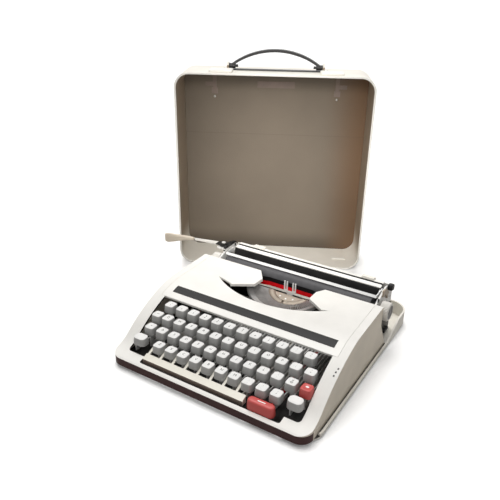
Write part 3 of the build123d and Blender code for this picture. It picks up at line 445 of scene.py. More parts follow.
def lever_finish(colours):
    """Return lever: black at its pivot, bright plated arm, tan where its grip begins."""
    lever = Surface("return_lever_plating")
    tan, noise = lever.drift(colours.tan, 0.08, 70.0)
    steel = lever.drift((0.74, 0.72, 0.68), 0.08, 120.0)[0]
    black = lever.drift((0.010, 0.0095, 0.0095), 0.25, 60.0)[0]
    colour = lever.blend(lever.x > -0.178, tan, steel)
    lever.close(lever.blend(lever.x > -0.139, colour, black), noise, 0.4, grain=0.1)


def carriage_finish(colours):
    """White carriage whose end plates are bright steel and whose rear groove is painted black as
    shade.
    """
    paint = Surface("deck_white")
    colour, noise = paint.drift(colours.deck, 0.03, 30.0)
    black = paint.drift(SHADE_BLACK, 0.2, 60.0)[0]
    steel = paint.drift((0.70, 0.69, 0.67), 0.1, 150.0)[0]
    ends = (paint.x < -0.1177).either(paint.x > 0.1297)
    sunk = (paint.z < 0.0797).either(abs(paint.upward) < 0.5)
    # Painted shade: the rear groove is black
    groove = (paint.y > 0.0932) * (paint.y < 0.09705) * sunk * (paint.z > 0.0780)
    colour = paint.blend(groove, paint.blend(ends, colour, steel), black)
    paint.close(colour, noise, 0.42, grain=0.10, grain_scale=1600.0)


def plain_finishes(colours):
    """The even moulded, painted and metal finishes: colour drift, gloss and fine grain."""
    rows = (
        ("case_cream", colours.cream, 0.04, 20.0, 0.5, dict(grain=0.35, grain_scale=1100.0)),
        ("deck_white_plain", colours.deck, 0.03, 30.0, 0.42, dict(grain=0.1)),
        ("key_red", colours.red, 0.04, 90.0, 0.5, dict(grain=0.05, shine=0.04)),
        ("legend_ink", (0.05, 0.048, 0.046), 0.15, 400.0, 0.5, {}),
        ("legend_white", (0.85, 0.84, 0.82), 0.05, 400.0, 0.45, {}),
        ("plated_steel", (0.86, 0.85, 0.83), 0.08, 130.0, 0.4,
         dict(grain=0.12, metallic=0.45, stretch=(1.0, 0.08, 1.0))),
        ("brushed_steel", (0.55, 0.545, 0.53), 0.12, 120.0, 0.36,
         dict(grain=0.2, metallic=1.0, stretch=(0.08, 1.0, 1.0))),
        ("chrome", (0.88, 0.88, 0.87), 0.02, 8.0, 0.22,
         dict(rough_spread=0.02, grain=0.004, metallic=0.3)),
        ("black_paint", (0.010, 0.0095, 0.0095), 0.25, 60.0, 0.45,
         dict(grain=0.12, shine=0.25)),
        ("trim_anodised", (0.026, 0.025, 0.025), 0.12, 200.0, 0.5,
         dict(grain=0.15, shine=0.2, stretch=(0.05, 1.0, 1.0))),
        ("segment_casting", CASTING, 0.12, 90.0, 0.5,
         dict(grain=0.4, grain_scale=900.0, metallic=0.35)),
        ("platen_rubber", (0.055, 0.054, 0.058), 0.12, 120.0, 0.5,
         dict(grain=0.1, shine=0.3, stretch=(0.2, 1.0, 1.0))),
        ("foot_rubber", (0.03, 0.03, 0.03), 0.2, 150.0, 0.8, dict(grain=0.3)),
        ("lever_tan", colours.tan, 0.08, 70.0, 0.42, dict(grain=0.12)),
        ("knob_moulding", (0.62, 0.60, 0.56), 0.05, 80.0, 0.45, dict(grain=0.12)),
        # Painted shade on the knobs' end faces
        ("knob_end_grey", (0.20, 0.195, 0.19), 0.08, 120.0, 0.4, dict(grain=0.1)),
        ("bell_brass", (0.62, 0.47, 0.22), 0.12, 120.0, 0.3, dict(metallic=1.0)),
        ("bracket_taupe", (0.20, 0.15, 0.125), 0.08, 60.0, 0.6, dict(grain=0.2)),
        ("handle_plastic", (0.016, 0.015, 0.015), 0.2, 60.0, 0.4, dict(grain=0.2)),
    )
    for name, colour, spread, scale, roughness, more in rows:
        surface = Surface(name)
        surface.close(*surface.drift(colour, spread, scale), roughness, **more)


FINISHES = (
    housing_finish, cover_finish, tray_finish, bar_finish, ribbon_finish, cap_finish,
    shade_panel_finish, shell_finish, basket_finish, lever_finish, carriage_finish, plain_finishes,
)

# Finish of each of the frame's nodes; the key levers that are not listed are plated steel
NODE_FINISHES = {
    "base_tray": "tray_moulding", "lid_shell": "lid_moulding", "lid_handle": "handle_plastic",
    "lid_catches": "bracket_taupe", "rubber_feet": "foot_rubber", "top_housing": "housing_paint",
    "ribbon_cover": "cover_paint", "chassis": "black_paint", "key_shaft": "brushed_steel",
    "type_segment": "segment_casting", "type_bars": "type_bar_steel",
    "type_bar_h": "type_bar_steel", "ribbon": "ribbon_cloth",
    "ribbon_spool_left": "black_paint", "ribbon_spool_right": "black_paint",
    "ribbon_guide": "chrome", "carriage_frame": "deck_white", "paper_table": "black_paint",
    "platen": "platen_rubber", "platen_knobs": "knob_moulding", "paper_bail": "chrome",
    "return_lever": "return_lever_plating", "paper_release_lever": "lever_tan",
    "margin_stop_left": "case_cream", "margin_stop_right": "case_cream",
    "mainspring_drum": "brushed_steel", "bell": "bell_brass",
    "space_bar": "space_bar_moulding", "tab_bar": "key_red",
}


class TYPEWRITER_OT_finishes(bpy.types.Operator):
    """Make the finishes and put one on every node of the frame."""

    bl_idname = "typewriter.finishes"
    bl_label = "Finishes"

    def execute(self, context):
        for make_finish in FINISHES:
            make_finish(context.scene.typewriter_colours)
        for name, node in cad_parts.items():
            node.data.materials.clear()
            node.data.materials.append(Surface.made[NODE_FINISHES.get(name, "plated_steel")])
        return {"FINISHED"}


# Mesh helpers; a shape is its points in millimetres and its faces

def grid_faces(rows, columns, close_rows=False, close_columns=True):
    """Four-sided faces of a grid of points, row by row; either way round may be closed."""
    first, second = np.meshgrid(
        np.arange(rows if close_rows else rows - 1),
        np.arange(columns if close_columns else columns - 1), indexing="ij",
    )
    next_row, next_column = (first + 1) % rows, (second + 1) % columns
    quads = np.stack([
        first * columns + second, first * columns + next_column,
        next_row * columns + next_column, next_row * columns + second,
    ], axis=-1)
    return quads.reshape(-1, 4)


def skin(rings, close_rows=False):
    """A surface through rings that have equally many points."""
    rings = np.stack(rings)
    return rings.reshape(-1, 3), grid_faces(*rings.shape[:2], close_rows=close_rows)


def slab(top, low):
    """A closed solid between two grids of points, with a wall round their border."""
    rows, columns = top.shape[:2]
    count = rows * columns
    faces = grid_faces(rows, columns, close_columns=False)
    border = np.concatenate([
        np.arange(columns), np.arange(1, rows) * columns + columns - 1,
        (rows - 1) * columns + np.arange(columns - 2, -1, -1),
        np.arange(rows - 2, 0, -1) * columns,
    ])
    after = np.roll(border, -1)
    wall = np.stack([border, after, after + count, border + count], axis=-1)
    return (np.concatenate([top.reshape(-1, 3), low.reshape(-1, 3)]),
            np.concatenate([faces, faces[:, ::-1] + count, wall]))


def turns(samples):
    """Equal angles once round, from zero."""
    return np.arange(samples) * 2.0 * math.pi / samples


def raised(outline, level):
    """A flat outline lifted to a level."""
    return np.column_stack([outline, np.full(len(outline), level)])


def rounded_outline(half_x, half_y, radius, samples):
    """Rounded rectangle: each corner's centre plus the radius along the angle."""
    turn = (np.arange(samples) + 0.5) * 2.0 * math.pi / samples
    x = np.sign(np.cos(turn)) * (half_x - radius) + radius * np.cos(turn)
    y = np.sign(np.sin(turn)) * (half_y - radius) + radius * np.sin(turn)
    return np.stack([x, y], axis=-1)


def outward_normals(outline):
    """Unit directions square to an outline that runs anticlockwise."""
    along = np.roll(outline, -1, axis=0) - np.roll(outline, 1, axis=0)
    normal = np.stack([along[:, 1], -along[:, 0]], axis=-1)
    return normal / np.linalg.norm(normal, axis=1, keepdims=True)


def lathe(profile, samples=32):
    """A profile of (radius, height) turned round the third axis."""
    turn = turns(samples)
    return skin([np.stack([radius * np.cos(turn), radius * np.sin(turn),
                           np.full(samples, float(height))], axis=-1)
                 for radius, height in profile])


def plate(outline, low, high, edge=0.3):
    """A flat plate with softened edges: its outline drawn in at the faces, out at the wall.

    The rings are the middle of the lower face, the face's edge, the wall and the same above.
    """
    outline = np.array(outline, float)
    area = np.sum(outline[:, 0] * np.roll(outline[:, 1], -1)
                  - outline[:, 1] * np.roll(outline[:, 0], -1))
    inner = outline - outward_normals(outline) * edge * (1.0 if area > 0 else -1.0)
    centre = np.repeat(outline.mean(axis=0)[None], len(outline), axis=0)
    return skin([raised(ring, level) for ring, level in (
        (centre, low), (inner, low), (outline, low + edge), (outline, high - edge),
        (inner, high), (centre, high))])


def side_plate(low_x, high_x, outline, edge=0.3):
    """A plate whose outline lies in the side view, from one X to another."""
    points, faces = plate(outline, low_x, high_x, edge)
    return points[:, [2, 0, 1]], faces


def placed(shape, origin, first=ACROSS, second=BACK, third=UP):
    """The same shape with its own axes laid along three directions from an origin."""
    points, faces = shape
    return points @ np.array([first, second, third], float) + np.array(origin, float), faces


def tube(path, radius, samples=12):
    """A round wire: a circle square to the path at each of its points, closed at both ends."""
    ahead = np.gradient(path, axis=0)
    ahead /= np.linalg.norm(ahead, axis=1, keepdims=True)
    side = np.cross(ahead, np.where(np.abs(ahead[:, 2:3]) < 0.9, [UP], [ACROSS]))
    side /= np.linalg.norm(side, axis=1, keepdims=True)
    other = np.cross(ahead, side)
    turn = turns(samples)[None, :, None]
    rings = path[:, None] + radius * (np.cos(turn) * side[:, None] + np.sin(turn) * other[:, None])
    ends = [np.repeat(path[place:place + 1, None], samples, axis=1)
            for place in (0, len(path) - 1)]
    return skin(np.concatenate([ends[0], rings, ends[1]]))


def slotted_head(radius=1.8, height=0.7, samples=22):
    """A screw head: a dome over a disc, lowered along a straight slot.

    A square grid is pressed into the disc, then height = dome minus the slot's depth.
    """
    span = np.linspace(-1.0, 1.0, samples)
    u, v = np.meshgrid(span, span, indexing="ij")
    x = u * np.sqrt(1.0 - v**2 / 2.0)
    y = v * np.sqrt(1.0 - u**2 / 2.0)
    reach = np.clip(x**2 + y**2, 0.0, 1.0)
    z = height * np.sqrt(1.0 - 0.85 * reach) - np.where(np.abs(x) < 0.14, 0.45 * height, 0.0)
    return slab(np.stack([x * radius, y * radius, z], axis=-1),
                np.stack([x * radius, y * radius, np.zeros_like(x)], axis=-1))


def lettering(text, size, raise_by):
    """Flat letters with a little thickness, as points and triangles round the origin."""
    curve = bpy.data.curves.new("lettering", "FONT")
    curve.body = text
    curve.size = size
    curve.align_x = "CENTER"
    curve.align_y = "CENTER"
    curve.resolution_u = 3
    curve.extrude = raise_by
    holder = bpy.data.objects.new("lettering", curve)
    bpy.context.scene.collection.objects.link(holder)
    bpy.context.view_layer.update()
    mesh = bpy.data.meshes.new_from_object(
        holder.evaluated_get(bpy.context.evaluated_depsgraph_get()))
    mesh.calc_loop_triangles()
    points = np.empty(len(mesh.vertices) * 3)
    mesh.vertices.foreach_get("co", points)
    triangles = np.empty(len(mesh.loop_triangles) * 3, dtype=np.int32)
    mesh.loop_triangles.foreach_get("vertices", triangles)
    bpy.data.objects.remove(holder)
    bpy.data.curves.remove(curve)
    bpy.data.meshes.remove(mesh)
    return points.reshape(-1, 3), triangles.reshape(-1, 3)


def make_piece(name, shapes, materials, body, replaces=(), angle=40.0):
    """Joins shapes into one piece on a body.

    The materials are named in one string; a shape may end with the number of its own. Where
    the frame has a plain material of that name, the piece takes the frame's.
    """
    points, faces, numbers, start = [], [], [], 0
    for shape_points, shape_faces, *number in shapes:
        points.append(shape_points)
        faces.extend((shape_faces + start).tolist())
        numbers.extend((number or [0]) * len(shape_faces))
        start += len(shape_points)
    mesh = bpy.data.meshes.new(name)
    mesh.from_pydata((np.concatenate(points) * 0.001).tolist(), [], faces)
    mesh.polygons.foreach_set("material_index", numbers)
    work = bmesh.new()
    work.from_mesh(mesh)
    bmesh.ops.remove_doubles(work, verts=work.verts, dist=1e-7)
    bmesh.ops.dissolve_degenerate(work, edges=work.edges, dist=1e-7)
    bmesh.ops.recalc_face_normals(work, faces=work.faces)
    work.to_mesh(mesh)
    work.free()
    for material in materials.split():
        mesh.materials.append(bpy.data.materials[material])
    mesh.polygons.foreach_set("use_smooth", [True] * len(mesh.polygons))
    mesh.set_sharp_from_angle(angle=math.radians(angle))
    piece = bpy.data.objects.new(name, mesh)
    bpy.context.scene.collection.objects.link(piece)
    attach(piece, body)
    if replaces:
        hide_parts(*replaces)
    if not len(mesh.polygons):
        raise RuntimeError(f"{name} has no faces")


# Key caps

def dish_height(outline, half_x, half_y, settings):
    """Height over the cap's flat top: the rim less a bowl that is deepest in the middle.

    The bowl ends the rim's width inside the cap's half-widths.
    """
    rim_width = 2.2
    reach = np.clip((outline[:, 0] / (half_x - rim_width)) ** 2
                    + (outline[:, 1] / (half_y - rim_width)) ** 2, 0.0, 1.0)
    return settings.rim * 1000.0 - settings.dish * 1000.0 * (1.0 - reach)


def cap_shape(place, half_x, half_y, corner, settings, height=10.0, taper=0.8):
    """A moulded cap, as rings of a rounded rectangle.

    Up the wall the half-widths shrink evenly with height; over the rim they shrink by the
    sine of the turn while the height rises by its cosine; inside they shrink to nothing
    along the dish.
    """
    fit, rim, skirt = settings.fit * 1000.0, settings.rim * 1000.0, height + 0.3
    rings = [raised(np.zeros((settings.samples, 2)), -skirt)]
    rows = []
    for step in np.linspace(0.0, 1.0, 7):
        bulge = 0.25 * math.sin(step * math.pi)
        rows.append((-skirt * (1.0 - step), taper * step - bulge - fit))
    for step in np.linspace(0.15, 1.0, 6):
        turn = step * math.pi / 2.0
        rows.append((rim * math.sin(turn), taper - fit + 1.5 * (1.0 - math.cos(turn))))
    for level, inset in rows:
        outline = rounded_outline(half_x - inset, half_y - inset, corner - 0.4 * inset,
                                  settings.samples)
        rings.append(raised(outline, level))
    for share in (0.92, 0.8, 0.62, 0.4, 0.2, 0.0):
        ring = outline * share
        rings.append(np.column_stack([ring, dish_height(ring, half_x, half_y, settings)]))
    return placed(skin(rings), place)


def legend_shape(text, place, size, shift, settings):
    """Letters that follow the dish of their cap."""
    points, faces = lettering(text, size, 0.05)
    points = points + (0.0, shift, 0.03)
    points[:, 2] += dish_height(points, KEY_HALF, KEY_HALF, settings)
    return points + place, faces


def key_place(row, index):
    """Middle of a key's top: along the row by the pitch, with the row's stagger."""
    return np.array((FIRST_KEY_X + ROW_STAGGER[row] + index * KEY_PITCH, ROW_Y[row],
                     ROW_TOP[row]))


class TYPEWRITER_OT_key_caps(bpy.types.Operator):
    """Make the moulded caps of all keys, with the characters printed on them."""

    bl_idname = "typewriter.key_caps"
    bl_label = "Key caps"

    def execute(self, context):
        settings = context.scene.typewriter_keys

        def standard(row, index, marks, shift_x=0.0):
            place = key_place(row, index) + ACROSS * shift_x
            # The lowest row's skirts are shorter, to clear the levers of the bars below
            shapes = [cap_shape(place, KEY_HALF, KEY_HALF, KEY_CORNER, settings,
                                height=9.6 if row == 3 else 10.0)]
            return shapes + [(*legend_shape(text, place, size, shift, settings), 1)
                             for text, size, shift in marks]

        def cap(name, shapes, body):
            make_piece(name, shapes, "key_cap_grey legend_ink", body)

        for row, letters in ((1, "qwertyuiop"), (2, "asdfghjkl"), (3, "zxcvbnm")):
            for index, letter in enumerate(letters):
                cap(f"cap_{letter}", standard(row, index, [(letter.upper(), 5.2, 0.9)]),
                    f"key_{letter}")
        signs = []
        numbers = zip("!\"/$%_&'()?+", "1234567890-=")
        rest = ((1, 10, ":", ";"), (1, 11, "*", "+"), (2, 9, ";", ","), (2, 10, "#", "@"),
                (3, 7, ";", ","), (3, 8, ":", "."), (3, 9, "?", "/"))
        for row, index, upper, lower in (
                *((0, index, *pair) for index, pair in enumerate(numbers)), *rest):
            signs += standard(row, index, [(upper, 3.6, 2.5), (lower, 4.0, -1.5)])
        cap("caps_numbers_and_signs", signs, "number_keys")
        cap("cap_margin_release", standard(1, -1, [("<>", 3.4, 0.6)], 2.0), "margin_release")
        cap("cap_shift_lock", standard(2, -1, [("=", 4.2, 0.6)]), "lock")
        shifts = [cap_shape((x, ROW_Y[3], ROW_TOP[3] + 1.0), 9.25, 7.25, 5.6, settings,
                            height=9.5) for x in SHIFT_X]
        make_piece("caps_shift", shifts, "key_cap_grey", "shifts")
        place = key_place(2, 11)
        oval = placed(lathe([(0.0, 0.0), (1.0, 0.0), (1.0, 0.12), (0.85, 0.2), (0.0, 0.2)], 28),
                      place + (0.0, 0.8, 0.24), ACROSS * 2.3, BACK * 1.5)
        shapes = [cap_shape(place, KEY_HALF, KEY_HALF, KEY_CORNER, settings), (*oval, 1)]
        make_piece("cap_backspace", shapes, "key_red legend_white", "backspace")
        return {"FINISHED"}


class TYPEWRITER_OT_bars(bpy.types.Operator):
    """Make the moulded cover of the red bar with its small mark."""

    bl_idname = "typewriter.bars"
    bl_label = "Bars"

    def execute(self, context):
        samples = 56
        rows = ((17.7, 5.7, 16.7), (17.7, 5.7, 20.0), (17.3, 5.3, 27.0), (17.0, 5.0, 28.6),
                (16.3, 4.3, 29.5), (15.0, 3.0, 29.95), (13.0, 1.6, 30.1))
        middle = np.zeros((samples, 2))
        rings = [raised(middle, rows[0][2])]
        for half_x, half_y, level in rows:
            rings.append(raised(rounded_outline(half_x, half_y, min(half_y, 5.0), samples),
                                level))
        rings.append(raised(middle, rows[-1][2]))
        mark = placed(plate(rounded_outline(5.2, 0.75, 0.7, 24), 30.05, 30.2, 0.05),
                      RED_BAR + ACROSS * 0.5)
        make_piece("tab_bar_moulding", [placed(skin(rings), RED_BAR), (*mark, 1)],
                   "key_red legend_white", "tab")
        return {"FINISHED"}


# Cover and housing

def cheek_height(y):
    """Height of the housing's curve at a given depth: an arc between two points.

    The arc's middle and radius follow from its two ends and its direction at the first one.
    """
    chord = math.atan2(*(CHEEK_END - CHEEK_START)[::-1])
    first = 2.0 * math.atan2(29.5 - 18.2, 24.0) - math.atan2(2.0, 9.8)
    radius = np.linalg.norm(CHEEK_END - CHEEK_START) / 2.0 / math.sin(first - chord)
    centre = CHEEK_START + radius * np.array((math.sin(first), -math.cos(first)))
    return centre[1] + np.sqrt(radius**2 - (np.asarray(y) - centre[0]) ** 2)


class TYPEWRITER_OT_cover_trim(bpy.types.Operator):
    """Make the dark trim strip across the cover.

    Its height is the curve of the housing, or the roof's slope behind it, plus its thickness.
    """

    bl_idname = "typewriter.cover_trim"
    bl_label = "Cover trim"

    def execute(self, context):
        y, x = np.meshgrid(np.linspace(-57.8, -45.5, 10), np.linspace(-120.5, 122.5, 48),
                           indexing="ij")
        base = (cheek_height(np.minimum(y, CHEEK_END[0]))
                + np.maximum(y - CHEEK_END[0], 0.0) * 0.175)
        top, low = (np.stack([x, y, base + rise], axis=-1) for rise in (0.6, 0.05))
        make_piece("trim_strip", [slab(top, low)], "trim_anodised", "cover")
        return {"FINISHED"}


class TYPEWRITER_OT_housing_marks(bpy.types.Operator):
    """Make the three small dark marks on the right-hand cheek."""

    bl_idname = "typewriter.housing_marks"
    bl_label = "Housing marks"

    def execute(self, context):
        shapes = []
        for x, y in ((139.2, -81.0), (138.4, -85.6), (138.0, -90.2)):
            slope = float(cheek_height(y + 1.0) - cheek_height(y - 1.0)) / 2.0
            second = np.array((0.0, 1.0, slope)) / math.hypot(1.0, slope)
            corners = rounded_outline(1.0, 1.15, 0.35, 20)
            corners[:, 0] *= 1.0 - 0.3 * (corners[:, 1] > 0)
            shapes.append(placed(plate(corners, -0.2, 0.25, 0.1), (x, y, cheek_height(y)),
                                 ACROSS, second, np.cross(ACROSS, second)))
        make_piece("cheek_marks", shapes, "black_paint", "machine")
        return {"FINISHED"}


# Carriage

class TYPEWRITER_OT_platen_knobs(bpy.types.Operator):
    """Make the two knurled platen knobs in place of the frame's plain ones."""

    bl_idname = "typewriter.platen_knobs"
    bl_label = "Platen knobs"

    def execute(self, context):
        samples, ribs, rib_height, rim_rows = 240, 40, 0.3, 7
        turn = turns(samples)
        # Radius, distance along the platen's axis and share of the knurl
        rows = ((0.0, 0.0, 0.0), (11.6, 0.0, 0.0), (12.4, 0.5, 0.0), (12.65, 1.2, 1.0),
                (12.65, 11.2, 1.0), (12.3, 12.2, 0.2), (11.4, 12.9, 0.0), (9.6, 13.0, 0.0),
                (9.2, 12.4, 0.0), (8.8, 12.0, 0.0), (4.0, 12.1, 0.0), (3.6, 12.7, 0.0),
                (3.0, 12.9, 0.0), (0.0, 12.9, 0.0))
        rings = []
        for radius, level, share in rows:
            radius = radius + rib_height * share * np.cos(turn * ribs)
            rings.append(np.stack([radius * np.cos(turn), radius * np.sin(turn),
                                   np.full(samples, level)], axis=-1))
        shapes = []
        for side, inner in ((1.0, 135.5), (-1.0, -123.5)):
            points, faces = placed(skin(rings), (inner, *PLATEN), BACK, UP * side, ACROSS * side)
            # The rim rows take the moulding; the end face takes the grey, which is painted shade
            shapes += [(points, faces[:rim_rows * samples], 0),
                       (points, faces[rim_rows * samples:], 1)]
        make_piece("platen_knobs_knurled", shapes, "knob_moulding knob_end_grey",
                   "platen_roller", replaces=("platen_knobs",), angle=50.0)
        return {"FINISHED"}


class TYPEWRITER_OT_carriage_trim(bpy.types.Operator):
    """Make the carriage's screws, line-space works, lever sleeve and black end fittings."""

    bl_idname = "typewriter.carriage_trim"
    bl_label = "Carriage trim"

    def execute(self, context):
        screws = [
            placed(slotted_head(1.9, 0.8), (face, y, z), BACK, UP * side, ACROSS * side)
            for side, face in ((-1.0, CARRIAGE_LEFT), (1.0, CARRIAGE_RIGHT))
            for y, z in ((96.0, 58.0), (108.0, 60.0), (60.0, 54.5))
        ]
        make_piece("carriage_screws", screws, "brushed_steel", "carriage")

        outline = [(79.5, 80.6), (88.0, 80.6), (103.0, 75.5), (107.0, 71.0), (103.0, 62.5),
                   (90.0, 61.5), (80.5, 74.0)]
        works = [side_plate(CARRIAGE_LEFT - 13.0, CARRIAGE_LEFT - 11.8, outline),
                 side_plate(CARRIAGE_LEFT - 2.0, CARRIAGE_LEFT - 0.8, outline)]
        pins = ((101.5, 71.0, 1.8), (93.0, 66.0, 1.8), (92.0, 73.0, 5.2))
        for y, z, radius in pins:
            rows = [(0.0, 0.0), (radius, 0.0), (radius, 3.0), (radius * 0.8, 3.4),
                    (radius * 0.8, 9.0), (radius, 9.4), (radius, 10.8), (0.0, 10.8)]
            works.append(placed(lathe(rows), (CARRIAGE_LEFT - 1.4, y, z), BACK, -UP, -ACROSS))
        for y, z, radius in pins[:2]:
            works.append((*placed(slotted_head(2.1, 0.8), (CARRIAGE_LEFT - 13.0, y, z), BACK,
                                  -UP, -ACROSS), 1))
        make_piece("line_space_works", works, "black_paint brushed_steel", "carriage")

        # Middle and half-widths of the sleeve's sections, from the arm to the grip's end
        rows = ((-178.0, 67.9, 84.0, 1.4, 1.6), (-179.0, 67.6, 84.0, 2.6, 2.6),
                (-190.0, 65.4, 83.7, 2.9, 3.4), (-200.0, 62.8, 82.4, 2.7, 4.8),
                (-211.0, 59.4, 81.0, 2.5, 6.6), (-219.5, 56.9, 80.3, 2.4, 7.9),
                (-223.6, 55.6, 80.2, 2.3, 7.6), (-225.4, 55.0, 80.2, 1.5, 6.6))
        cosine, sine = np.cos(turns(40)), np.sin(turns(40))
        rings = [np.stack([np.full(40, x),
                           y + np.sign(cosine) * np.abs(cosine) ** 0.6 * half_y,
                           z + np.sign(sine) * np.abs(sine) ** 0.6 * half_z], axis=-1)
                 for x, y, z, half_y, half_z in rows]
        ends = [np.repeat(ring.mean(axis=0)[None], 40, axis=0) for ring in (rings[0], rings[-1])]
        make_piece("return_lever_sleeve", [skin([ends[0], *rings, ends[1]])], "lever_tan",
                   "return_lever_arm")

        cap = [(91.5, 77.5), (100.5, 76.0), (100.5, 83.5), (99.0, 85.0), (92.5, 85.5),
               (91.0, 84.0)]
        crest = [(67.0, 82.5), (98.0, 82.5), (98.0, 84.4), (93.0, 86.6), (87.0, 85.0),
                 (85.0, 88.4), (78.5, 88.8), (76.5, 86.2), (71.0, 86.8), (67.0, 84.5)]
        ring = [(1.3, 0.0), (2.9, 0.0), (2.9, 0.7), (2.6, 1.0), (1.5, 1.0), (1.3, 0.8), (1.3, 0.0)]
        fittings = [side_plate(CARRIAGE_RIGHT - 0.1, CARRIAGE_RIGHT + 7.0, cap, 0.8),
                    side_plate(CARRIAGE_LEFT - 0.8, CARRIAGE_LEFT + 2.9, crest, 0.4),
                    placed(lathe(ring), (CARRIAGE_RIGHT, 57.5, 77.0), BACK, UP, ACROSS)]
        make_piece("carriage_end_fittings", fittings, "black_paint", "carriage")
        return {"FINISHED"}


# Type basket

def in_basket(shape, across=0.0, inward=0.0, rise=0.0):
    """Places a shape in the basket's own frame; its third axis is the basket's axis."""
    origin = BASKET_CENTRE + ACROSS * across + BASKET_INWARD * inward + BASKET_AXIS * rise
    return placed(shape, origin, ACROSS, BASKET_INWARD, BASKET_AXIS)


def arc_points(radius, degrees):
    """Points of an arc in the basket's plane."""
    turn = np.radians(degrees)
    return np.stack([radius * np.cos(turn), radius * np.sin(turn)], axis=-1)


class TYPEWRITER_OT_basket_trim(bpy.types.Operator):
    """Make the segment's bright edge, smooth face, raised rim and rivets."""

    bl_idname = "typewriter.basket_trim"
    bl_label = "Basket trim"

    def execute(self, context):
        degrees = np.linspace(-175.0, -5.0, 90)
        degrees = degrees[(degrees < -25.0) & (degrees > -155.0)]
        edge = in_basket(tube(raised(arc_points(34.6, degrees), 0.3), 0.35, 8))
        make_piece("segment_edge", [edge], "deck_white_plain", "machine")

        # The face has a notch where the moving bar swings up
        outline = np.concatenate([
            arc_points(27.3, np.linspace(-153.0, -93.0, 32)), [(-0.75, -25.2), (0.75, -25.2)],
            arc_points(27.3, np.linspace(-87.0, -27.0, 32)),
        ])
        make_piece("segment_face", [in_basket(plate(outline, 0.05, 0.9, 0.25))],
                   "segment_casting", "machine")

        rim = []
        section = ((24.0, 0.4), (26.6, 2.7), (27.2, 3.0), (32.9, 3.0), (33.4, 2.7), (33.4, 0.4))
        for start, end in ((-152.0, -93.4), (-86.6, -28.0)):
            degrees = np.linspace(start, end, 48)
            rings = np.stack([raised(arc_points(radius, degrees), level)
                              for radius, level in section], axis=1)
            ends = rings[[0, -1]].mean(axis=1, keepdims=True).repeat(len(section), axis=1)
            rim.append(in_basket(skin(np.concatenate([ends[:1], rings, ends[1:]]))))
        make_piece("segment_rim", rim, "segment_casting", "machine")

        head = lathe([(0, 0), (1.3, 0), (1.25, 0.35), (0.8, 0.75), (0, 0.85)], 24)
        rivets = [in_basket(head, *arc_points(21.3, degrees), 0.9)
                  for degrees in (-118.0, -90.0, -62.0)]
        make_piece("segment_rivets", rivets, "plated_steel", "machine")
        return {"FINISHED"}


class TYPEWRITER_OT_windings(bpy.types.Operator):
    """Make the winding of ribbon on both spools."""

    bl_idname = "typewriter.windings"
    bl_label = "Ribbon windings"

    def execute(self, context):
        low, high = 54.9, 67.7
        layers = [(13.9 + 0.12 * (step % 2), low + step * (high - low) / 8.0)
                  for step in range(9)]
        profile = [(3.0, low), *layers, (3.0, high), (3.0, low)]
        for side, name in ((-1.0, "left"), (1.0, "right")):
            winding = placed(lathe(profile, 72), (MIDDLE_X + side * SPOOL_OFFSET, SPOOL_Y, 0.0))
            make_piece(f"ribbon_winding_{name}", [winding], "ribbon_cloth", f"spool_{name}")
        return {"FINISHED"}


# Case lid

def on_lid(shape, along, height, depth, axes=(LID_ALONG, UP, LID_FRONT)):
    """Places a shape in the lid's own frame; its third axis faces the typist if none is given."""
    return placed(shape, LID_BASE + LID_ALONG * along + UP * height + LID_FRONT * depth, *axes)


STANDING = (LID_ALONG, -LID_FRONT, UP)
HANGING = (LID_ALONG, -LID_FRONT, -UP)


class TYPEWRITER_OT_lid_shade_panel(bpy.types.Operator):
    """Make the taupe panel inside the case lid that carries the lid's painted shade."""

    bl_idname = "typewriter.lid_lining"
    bl_label = "Lid lining"

    def execute(self, context):
        outline = rounded_outline(LID_WIDTH / 2.0 - 3.15, LID_HEIGHT / 2.0 - 3.15, 20.8, 96)
        panel = on_lid(plate(outline, 0.05, 1.0), LID_WIDTH / 2.0, LID_HEIGHT / 2.0, LID_WALL)
        make_piece("lid_lining", [panel], "lid_lining", "lid")
        return {"FINISHED"}


